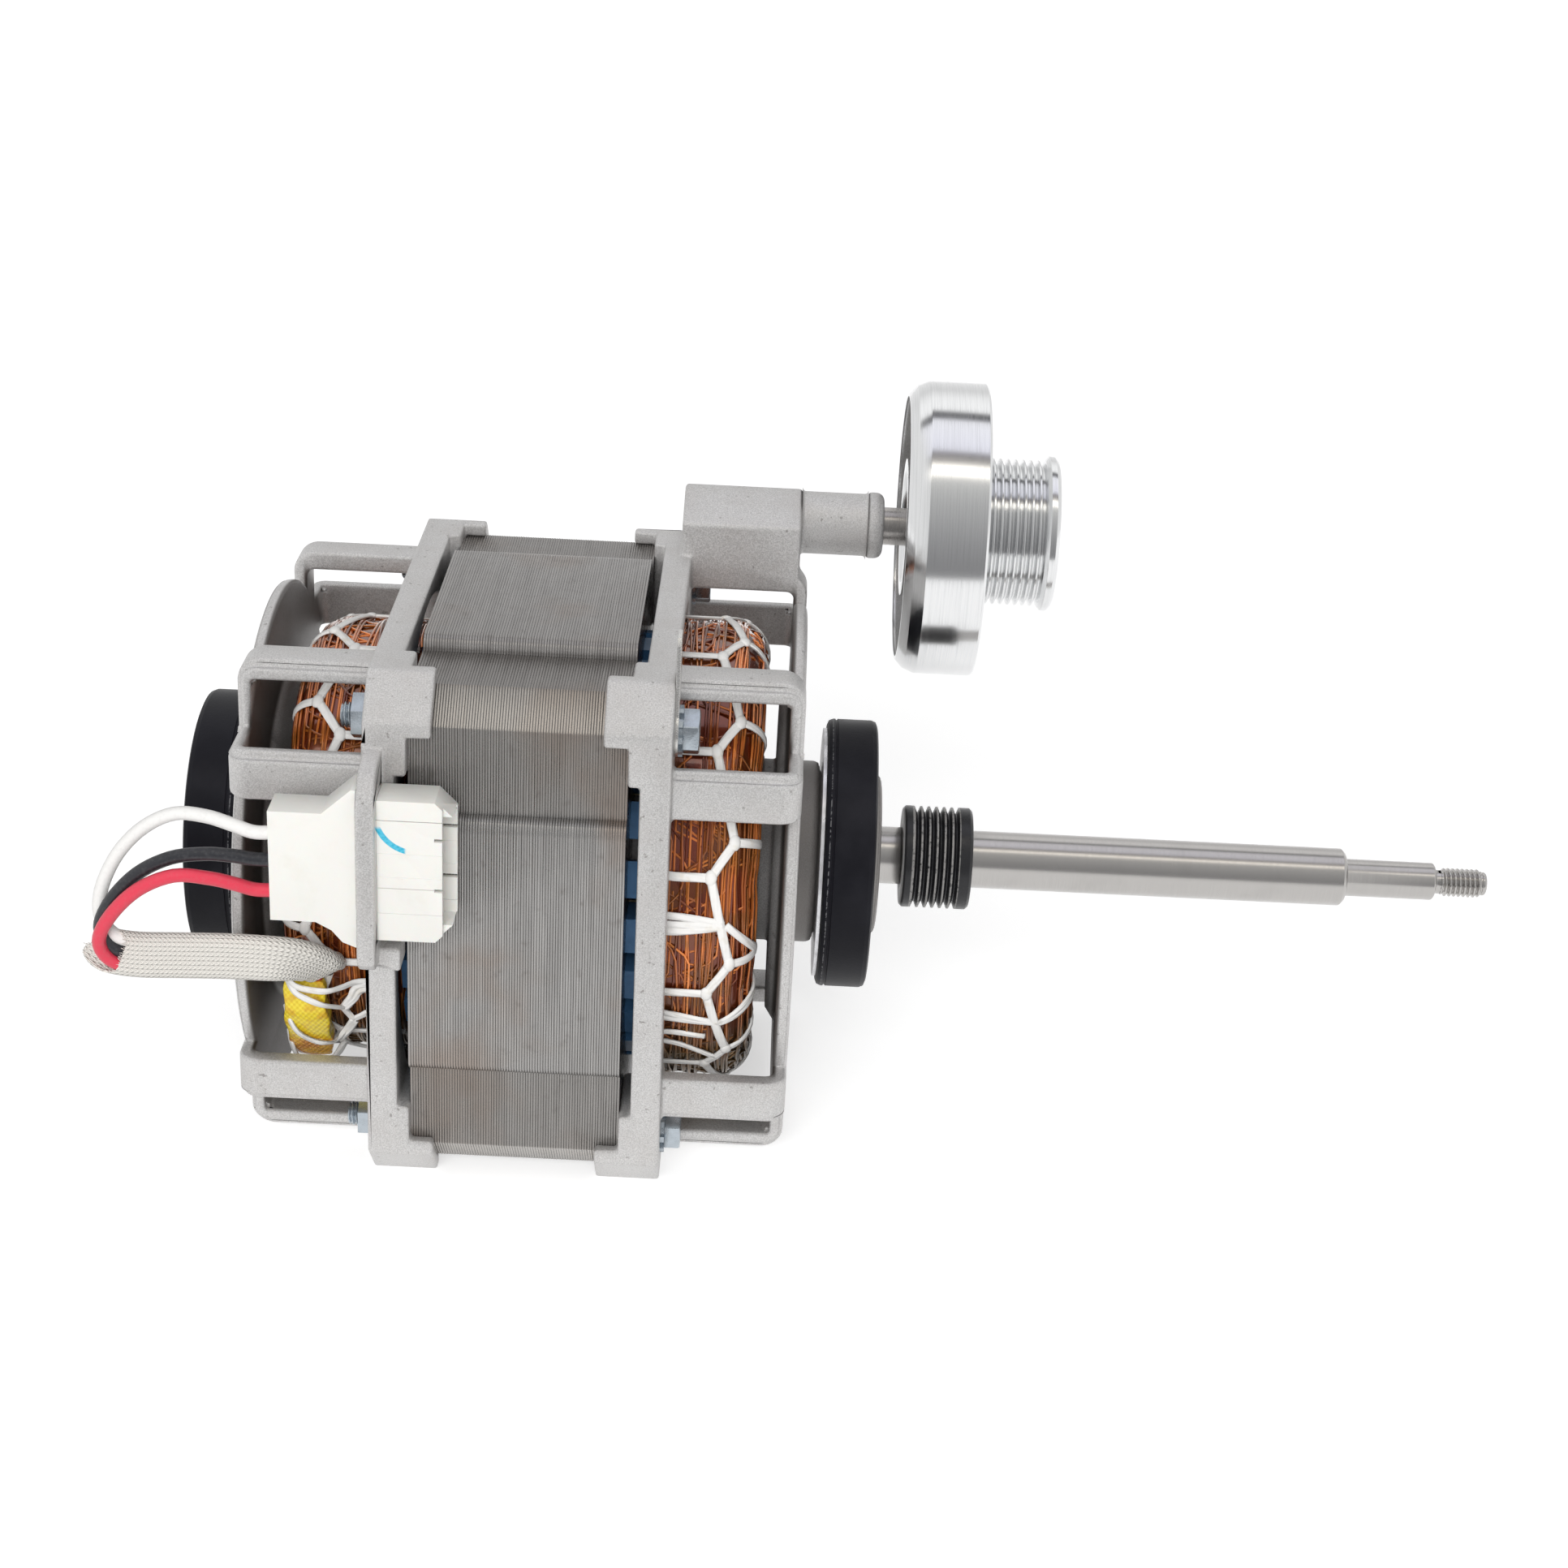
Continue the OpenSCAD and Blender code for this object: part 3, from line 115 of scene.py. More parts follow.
class Out:
    """The output of a shader node, which can be added, multiplied and so on."""

    __add__ = __radd__ = by_math("ADD")
    __sub__ = by_math("SUBTRACT")
    __mul__ = by_math("MULTIPLY")
    wave = by_math("SINE")
    fraction = by_math("FRACT")
    size = by_math("ABSOLUTE")
    root = by_math("SQRT")
    smaller = by_math("MINIMUM")
    larger = by_math("MAXIMUM")
    direction = by_math("ARCTAN2")

    def __init__(self, finish, socket):
        self.finish = finish
        self.socket = socket

    def above(self, start, end):
        """0 below start, 1 above end, smooth between them."""
        settings = {"interpolation_type": "SMOOTHSTEP"}
        return self.finish.add("ShaderNodeMapRange", settings, self, start, end)


class Finish:
    """A material in the making: its numbers are set at once, its patterns are linked."""

    def __init__(self, name, colour, rough, metal=0.0, **settings):
        self.begin(bpy.data.materials.new(name), "Principled BSDF")
        self.set("Base Color", (*colour, 1))
        self.set("Roughness", rough)
        self.set("Metallic", metal)
        for key, value in settings.items():
            self.set(key.replace("_", " "), value)

    def begin(self, block, shader):
        block.use_nodes = True
        self.material = block
        self.nodes = block.node_tree.nodes
        self.shader = self.nodes[shader]

    def set(self, socket, value):
        self.feed(self.shader.inputs[socket], value)
        return self

    def feed(self, socket, value):
        if isinstance(value, Out):
            self.material.node_tree.links.new(value.socket, socket)
        else:
            socket.default_value = value

    def add(self, kind, settings, *values, out=0, **named):
        node = self.nodes.new(kind)
        for key, value in settings.items():
            setattr(node, key, value)
        for socket, value in zip(node.inputs, values):
            self.feed(socket, value)
        for key, value in named.items():
            self.feed(node.inputs[key], value)
        return Out(self, node.outputs[out])

    def place(self, scale=(1, 1, 1), move=(0, 0, 0)):
        """Where a point is on the object, in millimetres, stretched by scale."""
        where = self.add("ShaderNodeTexCoord", {}, out=3)
        stretch = [s / MM for s in scale]
        return self.add("ShaderNodeMapping", {}, where, Location=move, Scale=stretch)

    def radius(self, move=(0, 0, 0)):
        """Distance from the shaft's line, or from one beside it, in millimetres."""
        where = self.place(scale=(0, 1, 1), move=move)
        return self.add("ShaderNodeVectorMath", {"operation": "LENGTH"}, where, out=1)

    def axis(self, index, where=None):
        return self.add("ShaderNodeSeparateXYZ", {}, where or self.place(), out=index)

    def noise(self, scale, detail=2.0, rough=0.5, where=None):
        return self.add("ShaderNodeTexNoise", {}, Vector=where or self.place(), Scale=scale,
                        Detail=detail, Roughness=rough)

    def attribute(self, name):
        return self.add("ShaderNodeAttribute", {"attribute_name": name}, out=2)

    def rays(self):
        """Three switches: seen by the camera, in a mirror, or through something clear."""
        outputs = self.nodes.new("ShaderNodeLightPath").outputs
        kinds = ("Camera", "Glossy", "Transmission")
        return [Out(self, outputs[f"Is {kind} Ray"]) for kind in kinds]

    def blend(self, share, first, second):
        """From the first colour to the second by a share."""
        first, second = [c if isinstance(c, Out) else (*c, 1) for c in (first, second)]
        node = self.nodes.new("ShaderNodeMix")
        node.data_type = "RGBA"
        for index, value in ((0, share), (6, first), (7, second)):
            self.feed(node.inputs[index], value)
        return Out(self, node.outputs[2])

    def coats(self, colour, *layers):
        """Colours laid over a colour, each with its share."""
        for share, layer in layers:
            colour = self.blend(share, colour, layer)
        return colour

    def dress(self, colour, height, depth_mm, rough=None, strength=1.0):
        """What changes over the surface: its colour, its bumps and its roughness."""
        normal = self.add(
            "ShaderNodeBump", {}, Height=height, Distance=depth_mm * MM, Strength=strength
        )
        if rough is not None:
            self.set("Roughness", rough)
        return self.set("Base Color", colour).set("Normal", normal)


# %% [markdown]
# Each piece ends the same way: it lies at the origin with its place in its mesh, it wears
# its finish, rides on its body, and may stand for a solid of the frame.


# %% How a piece is finished
def pick(piece):
    """Selects this piece alone."""
    for other in bpy.context.selected_objects:
        other.select_set(False)
    bpy.context.view_layer.objects.active = piece
    piece.select_set(True)
    return piece


@contextmanager
def editing(piece, select="SELECT"):
    """Opens a piece in edit mode, for the mesh tools in the block."""
    pick(piece)
    bpy.ops.object.mode_set(mode="EDIT")
    if select:
        bpy.ops.mesh.select_all(action=select)
    yield
    bpy.ops.object.mode_set(mode="OBJECT")


def settle(piece, name, finish, body="stator", stands_for=()):
    """Names a piece, puts its place into its mesh and gives it its finish and its body."""
    pick(piece)
    bpy.ops.object.transform_apply(location=True, rotation=True, scale=True)
    piece.name = name
    piece.data.name = name
    piece.data.materials.clear()
    piece.data.materials.append(finish.material)
    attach(piece, body)
    if stands_for:
        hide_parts(*stands_for)
    piece.select_set(False)
    triangles = sum(len(p.vertices) - 2 for p in piece.data.polygons)
    print(f"{name}: {triangles} triangles")
    return piece


def modify(piece, kind, **settings):
    """Adds a modifier and applies it at once."""
    pick(piece)
    modifier = piece.modifiers.new(kind.lower(), kind)
    for key, value in settings.items():
        setattr(modifier, key, value)
    bpy.ops.object.modifier_apply(modifier=modifier.name)
    return piece


def smooth_by_angle(piece, degrees):
    pick(piece)
    bpy.ops.object.shade_smooth_by_angle(angle=math.radians(degrees))
    return piece


SAME_PLACE = 0.002 * MM
SAME_PLANE = math.radians(0.6)


def merged_copy(node):
    """A copy of a solid's mesh whose loose triangles are joined into clean faces."""
    twin = bpy.data.objects.new(node + "_copy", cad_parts[node].data.copy())
    bpy.context.scene.collection.objects.link(twin)
    with editing(twin):
        bpy.ops.mesh.remove_doubles(threshold=SAME_PLACE)
        bpy.ops.mesh.dissolve_limited(angle_limit=SAME_PLANE)
    if twin.data.has_custom_normals:
        bpy.ops.mesh.customdata_custom_splitnormals_clear()
    return twin


def soften(piece, width_mm, segments, angle, clamp=True):
    """Rounds the edges that are sharper than an angle, as on a casting or a moulding."""
    modify(
        piece, "BEVEL", width=width_mm * MM, segments=segments, limit_method="ANGLE",
        angle_limit=math.radians(angle), harden_normals=False, use_clamp_overlap=clamp,
        loop_slide=clamp,
    )
    return smooth_by_angle(piece, angle)


def rounded_copy(node, edges, name, finish, body="stator"):
    """Takes a solid's place with a copy of it whose edges are rounded."""
    return settle(soften(merged_copy(node), *edges), name, finish, body, [node])


# %% [markdown]
# The tubes of this motor, leads and wires and lacing, all follow lists of points.
# One function lays a ring of points round each place of a path and joins the rings, and
# gives each path a tone, so that neighbouring wires differ in colour.


# %% Tubes along paths
def new_piece(name, points, faces):
    """A smooth piece made of points and the faces between them."""
    mesh = bpy.data.meshes.new(name)
    mesh.from_pydata(np.vstack(points).tolist(), [], faces)
    mesh.shade_smooth()
    piece = bpy.data.objects.new(name, mesh)
    bpy.context.scene.collection.objects.link(piece)
    return piece


def note(piece, name, values):
    """Keeps a number for each point of a piece, which its finish can read."""
    piece.data.attributes.new(name, "FLOAT", "POINT").data.foreach_set("value", values)


def smooth_path(points, per_span):
    """A smooth curve through the points, with a number of steps between each two."""
    p = np.array(points, float)
    ends = np.vstack([2 * p[0] - p[1], p, 2 * p[-1] - p[-2]])
    t = np.linspace(0, 1, per_span, endpoint=False)[:, None]
    spans = []
    for a, b, c, d in zip(ends, ends[1:], ends[2:], ends[3:]):
        cubic = 2 * b + (c - a) * t + (2 * a - 5 * b + 4 * c - d) * t**2
        spans.append((cubic + (3 * b - a - 3 * c + d) * t**3) / 2)
    return np.vstack([*spans, p[-1:]])


def steps_of(path):
    return np.linalg.norm(np.diff(path, axis=0), axis=1)


def reach_of(path):
    """How far along the path each of its points lies."""
    return np.concatenate([[0], np.cumsum(steps_of(path))])


def unit_rows(rows):
    return rows / np.maximum(np.linalg.norm(rows, axis=-1, keepdims=True), 1e-12)


def heading(path):
    return unit_rows(np.gradient(path, axis=0))


def ring_faces(rings, sides, first=0):
    """The faces that join rings of points, each ring to the next."""
    starts = range(first, first + (rings - 1) * sides, sides)
    pairs = [(k, (k + 1) % sides) for k in range(sides)]
    return [(r + k, r + j, r + sides + j, r + sides + k) for r in starts for k, j in pairs]


def tube_mesh(name, paths, ups, section, tones=None, closed=True):
    """One mesh of many tubes. Each path has its own directions for the section's top."""
    section = np.array(section, float)
    sides = len(section)
    points, faces, tone_of = [], [], []
    for number, (path, up) in enumerate(zip(paths, ups)):
        along = heading(path)
        side = unit_rows(np.cross(along, up))
        top = np.cross(side, along)
        first = len(points) * sides
        for place, s, t in zip(path, side, top):
            points.append(place + section[:, :1] * s + section[:, 1:] * t)
        last = first + (len(path) - 1) * sides
        faces += ring_faces(len(path), sides, first)
        if closed:
            faces.append(tuple(range(first + sides - 1, first - 1, -1)))
            faces.append(tuple(range(last, last + sides)))
        tone_of += [0.5 if tones is None else tones[number]] * (len(path) * sides)
    piece = new_piece(name, points, faces)
    note(piece, "tone", tone_of)
    return piece


def ellipse(width, height, sides):
    turn = np.arange(sides) * 2 * math.pi / sides + math.pi / sides
    return np.stack([np.cos(turn) * width / 2, np.sin(turn) * height / 2], axis=1)


# %% [markdown]
# The cords come next, because their route decides how much room the motor takes.
# Three leads leave the connector, bend back in a loop and run side by side through a flat
# braided sleeve to the rear winding. The routes are the ones that the frame was built with.

# %% Routes of the leads and their sleeve
LEAD_D = 2.7 * MM
LEAD_PITCH = 2.75 * MM
STEPS_PER_SPAN = 5
sleeve_route = np.array([
    (-146, -57.5, 1), (-142.5, -57.5, -1.6), (-136.5, -57.3, -2.6), (-128, -57, -2.5),
    (-119, -57, -2.2), (-111.5, -56.3, -2.6), (-107, -53.8, -4), (-104, -50, -6.5),
    (-102.5, -46.4, -9)]) * MM
white_route = [
    (-109.4, -59.3, 25.3), (-113, -59.3, 25.3), (-117, -58.8, 26.4), (-122, -57.9, 27.4),
    (-128, -57, 27.2), (-134, -56.8, 24), (-139.2, -56.6, 18.2), (-142.6, -56.6, 11),
    (-143.1, -57, 5.4), (-140.8, -57.2, 1.6)]
black_route = [
    (-109.4, -59.3, 19.7), (-113, -59.3, 19.7), (-117, -59.6, 20.3), (-122, -60, 20.6),
    (-128.5, -60, 19.4), (-135, -59.6, 15.6), (-140.4, -59, 9.4), (-142.9, -58.4, 3.4),
    (-141, -57.8, -0.9)]
red_route = [
    (-109.4, -59.3, 13.4), (-113, -59.3, 13.4), (-116.5, -60.3, 14.8), (-121, -61.3, 16.2),
    (-127.5, -62.2, 16.8), (-134.5, -62, 13.4), (-140.2, -61.2, 7.2), (-142.9, -60, 1.2),
    (-141.3, -58.6, -3.3)]
LANE_FROM = 2
WINDING_ENTRY = np.array((-101.7, -44.4, -10.4)) * MM
ENTRY_SPREAD = np.array((0.8, 0, 0.5))


def upward(path):
    """Across the path, in the plane of the motor's side."""
    return unit_rows(np.cross(heading(path), (0, 1, 0)))


def lead_path(route, place):
    """A lead's own route, then its lane in the sleeve, then its entry to the winding."""
    lane = (sleeve_route + place * LEAD_PITCH * upward(sleeve_route))[LANE_FROM:]
    entry = WINDING_ENTRY + place * LEAD_PITCH * ENTRY_SPREAD
    return smooth_path([*(np.array(route) * MM), *lane, entry], STEPS_PER_SPAN)


# %% The three leads
def lead_finish(name, colour):
    """Soft insulation: smooth, a little waxy, with faint scuffs."""
    finish = Finish(name, colour, 0.38, Specular_IOR_Level=0.5)
    grain = finish.noise(1.4, 3)
    ripple = finish.noise(3, 2)
    worn = [c * 0.86 + 0.04 for c in colour]
    skin = finish.blend(grain.above(0.45, 0.7) * 0.5, colour, worn)
    return finish.dress(skin, ripple, 0.04, rough=grain * 0.2 + 0.28, strength=0.5)


# each lead's route, its lane in the sleeve, its colour and its slot
lead_looks = {
    "white": (white_route, 1, (0.86, 0.85, 0.83), "white_insulation"),
    "black": (black_route, 0, (0.022, 0.023, 0.028), "black_insulation"),
    "red": (red_route, -1, (0.74, 0.05, 0.09), "red_insulation"),
}
LEAD_SIDES = 16
leads = {}
for hue, (route, place, colour, slot) in lead_looks.items():
    path = lead_path(route, place)
    tube = tube_mesh("lead", [path], [upward(path)], ellipse(LEAD_D, LEAD_D, LEAD_SIDES))
    lead = settle(
        tube, f"{hue}_lead", lead_finish(f"{hue} insulation", colour),
        stands_for=[f"lead_{hue}"],
    )
    leads[hue] = (lead, path)
    print(f"{hue} lead: {steps_of(path).sum() / MM:.1f} mm long")

# %% [markdown]
# The sleeve is a flat tube woven from glass yarn. Its weave is a herringbone of small
# stitches, so the tube carries its own UV map, in millimetres along and in turns round it,
# and the pattern follows the sleeve round its bends. Its mouth is cut and frays.


# %% Braid
def stadium(straight, radius, sides):
    """A flat oval in even steps: a flat side, a half circle, and the same again."""
    around = 2 * math.pi * radius + 4 * straight
    oval = []
    for reach in (np.arange(sides) + 0.5) * around / sides:
        turned_over = reach > around / 2
        reach = reach % (around / 2)
        if reach < straight:
            place = (radius, -reach)
        elif reach < straight + math.pi * radius:
            turn = (reach - straight) / radius
            place = (radius * math.cos(turn), -straight - radius * math.sin(turn))
        else:
            place = (-radius, reach - 2 * straight - math.pi * radius)
        oval.append((-place[0], -place[1]) if turned_over else place)
    return np.array(oval)


BRAID_ROWS, BRAID_STITCHES = 24, 1.1
BRAID_COLOUR = (0.87, 0.84, 0.78)
braid = Finish("glass braid", BRAID_COLOUR, 0.75, Sheen_Weight=0.25)
uv = braid.add("ShaderNodeUVMap", {"uv_map": "braid"})
along, across = (braid.axis(i, uv) for i in (0, 1))
from_middle = ((across * BRAID_ROWS).fraction() - 0.5).size()
stitch = ((along * BRAID_STITCHES + from_middle * 1.2) * math.tau).wave()
height = stitch * 0.5 - from_middle.above(0.34, 0.5) * 0.9
fuzz = braid.noise(0.9, 3)
# painted shade: the weave's hollows between the stitches are painted darker
hollow_shade = [c * 0.80 for c in BRAID_COLOUR]
braid.dress(braid.blend(height.above(-1.2, 0.45), hollow_shade, BRAID_COLOUR), height + fuzz * 0.5, 0.2)

# %% Sleeve with its slanted mouth
SLEEVE_WALL = 0.45 * MM
SLEEVE_BORE_R = 1.5 * MM
SLEEVE_SIDES = 60
SLEEVE_STEPS = 14
MOUTH_FROM = 2.4 * MM
MOUTH_SLANT = 5.6 * MM
MOUTH_LEAN = 1.2 * MM
path = smooth_path(sleeve_route, SLEEVE_STEPS)
reach = reach_of(path)
ups = upward(path)
aways = unit_rows(np.cross(heading(path), ups))
skin = stadium(LEAD_PITCH, SLEEVE_BORE_R + SLEEVE_WALL, SLEEVE_SIDES)


def on_sleeve(distance, place):
    """A point of the sleeve's skin at a distance along it; place is across and up."""
    here, up, away = (np.array([np.interp(distance, reach, rows[:, i]) for i in range(3)]).T
                      for rows in (path, ups, aways))
    return here + place[:, :1] * away + place[:, 1:] * up


cut = MOUTH_FROM + MOUTH_SLANT * (0.5 + 0.5 * skin[:, 0] / abs(skin[:, 0]).max())
cut = cut + MOUTH_LEAN * skin[:, 1] / abs(skin[:, 1]).max()
sleeve = tube_mesh("sleeve", [path], [ups], skin, closed=False)
mesh = sleeve.data
share = reach / reach[-1]
distances = cut[None] + (reach[-1] - cut[None]) * share[:, None]
points = np.vstack([on_sleeve(row, skin) for row in distances])
mesh.vertices.foreach_set("co", points.ravel())
braid_uv = mesh.uv_layers.new(name="braid")
for polygon in mesh.polygons:
    sides = [mesh.loops[c].vertex_index % SLEEVE_SIDES for c in polygon.loop_indices]
    for corner, side in zip(polygon.loop_indices, sides):
        ring = mesh.loops[corner].vertex_index // SLEEVE_SIDES
        turn = SLEEVE_SIDES if side == 0 and max(sides) == SLEEVE_SIDES - 1 else side
        braid_uv.data[corner].uv = (distances[ring, side] / MM, turn / SLEEVE_SIDES)
modify(sleeve, "SOLIDIFY", thickness=SLEEVE_WALL, offset=-1)
sleeve = settle(sleeve, "braided_sleeve", braid, stands_for=["lead_sleeve"])

# %% Cut yarns at the sleeve's mouth
YARN_D = 0.15 * MM
YARN_ROOT = (1.2, 0.1)
dice = random.Random(3)
outward = -heading(path)[0]
yarns, tops = [], []
for number in range(SLEEVE_SIDES):
    place = skin[number:number + 1] * 0.94
    starts = [on_sleeve(np.array([cut[number] + back * MM]), place)[0] for back in YARN_ROOT]
    drift = np.array([dice.gauss(0, 0.3) for _ in range(3)])
    tip = unit_rows(outward + drift) * dice.uniform(0.2, 1.0) * MM
    yarns.append(np.array([*starts, starts[1] + tip * 0.5, starts[1] + tip]))
    tops.append(np.tile(ups[0], (4, 1)))
fray = tube_mesh("fray", yarns, tops, ellipse(YARN_D, YARN_D, 4))
yarn = Finish("glass yarn", (0.74, 0.71, 0.66), 0.7)
yarn.set("Roughness", yarn.noise(4) * 0.4 + 0.5)
fray = settle(fray, "sleeve_fray", yarn)

# %% A loop over the leads, which does nothing
for hue, (lead, path) in leads.items():
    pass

# %% [markdown]
# The windings are what catches the eye. Each end has coils of fine enamelled wire that come
# out of the slots, run round the shaft for a third of a turn and go back in, all soaked in
# varnish. A core fills the middle, painted dark as shade in the gaps between the wires, and
# over it each wire is a tube of its own with its own height, drift and tone.

# %% Where the end turns lie
stack_low, stack_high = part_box("stator_core")
SLOT_OUT = 2.8 * MM
TURNS_IN_R = 33 * MM
CROWN = 0.7 * MM


class Bundle:
    """The outer skin of the end turns: a place on it is an angle and a distance along."""

    def __init__(self, node, face, sign):
        low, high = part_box(node)
        self.sign = sign
        self.face = face
        self.out_r = high.z - CROWN
        self.in_r = TURNS_IN_R
        self.nose_r = (self.out_r - self.in_r) / 2
        nose = (high.x - face) if sign > 0 else (face - low.x)
        self.leg = nose - self.nose_r - SLOT_OUT - CROWN
        self.length = 2 * self.leg + math.pi * self.nose_r

    def point(self, angle, along, lift=0.0):
        """Angle in degrees from Y towards Z, distance along the skin from the stack."""
        along = np.asarray(along, float)
        turn = (along - self.leg) / self.nose_r
        reach = self.nose_r + lift
        mid = (self.out_r + self.in_r) / 2
        on_nose = (turn > 0) & (turn < math.pi)
        x = np.where(on_nose, self.leg + reach * np.sin(turn),
                     np.where(turn <= 0, along, self.length - along))
        radius = np.where(on_nose, mid + reach * np.cos(turn),
                          np.where(turn <= 0, self.out_r + lift, self.in_r - lift))
        a = np.radians(angle)
        x = self.face + self.sign * (SLOT_OUT + x)
        return np.stack([x + 0 * a, radius * np.cos(a), radius * np.sin(a)], axis=-1)

    def outward(self, angle, along):
        """The skin's own normal there."""
        return unit_rows(self.point(angle, along, MM) - self.point(angle, along, 0.0))


front_end = Bundle("front_turns", stack_high.x, 1)
rear_end = Bundle("rear_turns", stack_low.x, -1)
print("skin of the front turns in mm:", round(front_end.length / MM, 1))

# %% Enamelled, varnished wire
LOW_DARKENING = 0.85
copper = Finish("varnished copper", (0.42, 0.13, 0.03), 0.24, 0.55, Coat_Weight=1.0,
                Coat_Roughness=0.05, Coat_IOR=1.5)
tone = copper.attribute("tone")
pool = copper.noise(0.13, 3, 0.55)
drip = copper.noise(0.4, 2)
# the winding gets darker, more olive and less glossy towards the bottom
low = copper.axis(2).above(8, -36)
fresh = copper.blend(tone.above(0.1, 0.95), (0.16, 0.024, 0.006), (0.90, 0.27, 0.055))
amber = copper.blend(tone, (0.12, 0.026, 0.004), (0.50, 0.17, 0.02))
olive = copper.blend(tone, (0.06, 0.034, 0.012), (0.28, 0.16, 0.06))
darker_low = (low * LOW_DARKENING + pool.above(0.35, 0.6) * 0.25) * low
skin = copper.coats(fresh, (pool.above(0.48, 0.64) * 0.8, amber), (darker_low, olive))
copper.dress(skin, drip, 0.08, rough=drip * 0.2 + (low * 0.2 + 0.12))
copper.set("Coat Weight", low * -0.75 + 1)

# %% Wires of one end
WIRE_D = 0.62 * MM
WIRES = 300
WIRE_STEPS = 46
COIL_PITCH = 15
COIL_SCATTER = 5
HALF_TURN = (42, 66)
OUTER_LEVELS = (0.02, 0.66)
INNER_LEVELS = (0.6, 1.0)
SLOT_SINK = 1.1 * MM
INNER_EVERY = 5
RISE = 0.22
WANDER_MM, DRIFT_MM = 0.45, 0.9
LAYERS_MM = (-0.45, 0.25)
TIE_STEP = 30
TIE_PINCH = 0.35 * MM
CORE_SINK = 0.45 * MM
CORE_STEPS = 34
CORE_RINGS = 96
# painted shade: the core's low tone makes it dark, like the gaps between the wires
CORE_SHADE_TONE = 0.12


def wires_of(bundle, seed):
    """Paths of the wires: out of a slot, round the shaft, and back into a slot."""
    dice = np.random.default_rng(seed)
    paths, tops, tones = [], [], []
    for number in range(WIRES):
        outer = number % INNER_EVERY != 0
        coil = dice.integers(360 // COIL_PITCH) * COIL_PITCH
        half = dice.uniform(*HALF_TURN)
        centre = coil + dice.normal(0, COIL_SCATTER)
        level = dice.uniform(*(OUTER_LEVELS if outer else INNER_LEVELS)) * bundle.length
        root = 0.0 if outer else bundle.length
        t = np.linspace(-1, 1, WIRE_STEPS)
        rise = np.clip((1 - np.abs(t)) / RISE, 0, 1)
        rise = rise * rise * (3 - 2 * rise)
        angle = centre + t * half
        wander = dice.normal(0, WANDER_MM) * MM
        wander = wander * np.sin(t * dice.uniform(2, 5) + dice.uniform(0, 6))
        along = root + (level - root) * rise + wander * rise
        along += dice.normal(0, DRIFT_MM) * MM * t * rise
        tied = (angle - TIE_STEP / 2) / TIE_STEP
        pinch = TIE_PINCH * np.exp(-((tied - np.round(tied)) * TIE_STEP / 4) ** 2)
        layer = dice.uniform(*LAYERS_MM) * MM
        lift = layer * rise - SLOT_SINK * (1 - rise) - pinch * rise
        along = np.clip(along, 0, bundle.length)
        paths.append(bundle.point(angle, along, lift))
        tops.append(bundle.outward(angle, along))
        tones.append(float(np.clip(dice.normal(0.5, 0.25), 0, 1)))
    return paths, tops, tones


def core_of(bundle, name):
    """The solid middle of the end turns, a little below the wires."""
    n = CORE_STEPS
    share = np.linspace(0, 1, n) * bundle.length
    rings, faces = [], []
    for step in range(CORE_RINGS):
        angle = np.full(n, 360.0 * step / CORE_RINGS)
        rings.append(bundle.point(angle, share, -CORE_SINK))
        here, there = step * n, (step + 1) % CORE_RINGS * n
        faces += [(here + k, there + k, there + k + 1, here + k + 1) for k in range(n - 1)]
        faces.append((here + n - 1, there + n - 1, there, here))
    piece = new_piece(name, rings, faces)
    note(piece, "tone", [CORE_SHADE_TONE] * (n * CORE_RINGS))
    with editing(piece):
        bpy.ops.mesh.normals_make_consistent(inside=False)
    return piece


for bundle, node, seed in ((front_end, "front_turns", 5), (rear_end, "rear_turns", 11)):
    paths, tops, tones = wires_of(bundle, seed)
    wires = tube_mesh(node, paths, tops, ellipse(WIRE_D, WIRE_D, 4), tones)
    settle(wires, node + "_wires", copper, stands_for=[node])
    settle(core_of(bundle, node), node + "_core", copper)

# %% [markdown]
# White cord laces the coils together. It runs round the bundle in a zigzag; from each
# corner on the stack's side a cord goes back to the stack, and from each corner on the
# other side one goes over the nose and down inside, which leaves six-sided meshes.

# %% Lacing cord
CORD_W = 1.9 * MM
BAND_W = 1.6 * MM
CORD_T = 0.75 * MM
CORD_SIDES = 10
CORD_LIFT = 0.42 * MM
cord_white = Finish("lacing cord", (0.84, 0.83, 0.81), 0.5, Sheen_Weight=0.2)
strand = cord_white.attribute("strand") * 0.9
thread = (cord_white.attribute("across") * (math.tau * 0.5) + strand).wave()
soil = cord_white.noise(0.4, 3)
soiled = cord_white.blend(soil.above(0.5, 0.8) * 0.5, (0.87, 0.86, 0.84), (0.66, 0.58, 0.44))
cord_white.dress(soiled, thread * 0.5 + soil, 0.07)


def cord_mesh(name, paths, tops, width):
    """Flat cords, whose points know how far along the cord, and round it, they lie."""
    piece = tube_mesh(name, paths, tops, ellipse(width, CORD_T, CORD_SIDES))
    along = np.concatenate([np.repeat(reach_of(path), CORD_SIDES) for path in paths]) / MM
    note(piece, "strand", along)
    note(piece, "across", np.tile(np.arange(CORD_SIDES, dtype=float), len(along) // CORD_SIDES))
    return piece


def lacing_cord(bundle, legs, name, width=CORD_W):
    """Flat cords over the skin; each leg is a list of corners (angle, distance in mm)."""
    paths, tops = [], []
    for leg in legs:
        corners = np.array(leg, float)
        steps = max(4, int(np.abs(np.diff(corners, axis=0)).sum() / 1.5))
        route = smooth_path(corners, max(2, steps // (len(corners) - 1)))
        angle, along = route[:, 0], route[:, 1] * MM
        paths.append(bundle.point(angle, along, CORD_LIFT))
        tops.append(bundle.outward(angle, along))
    return cord_mesh(name, paths, tops, width)


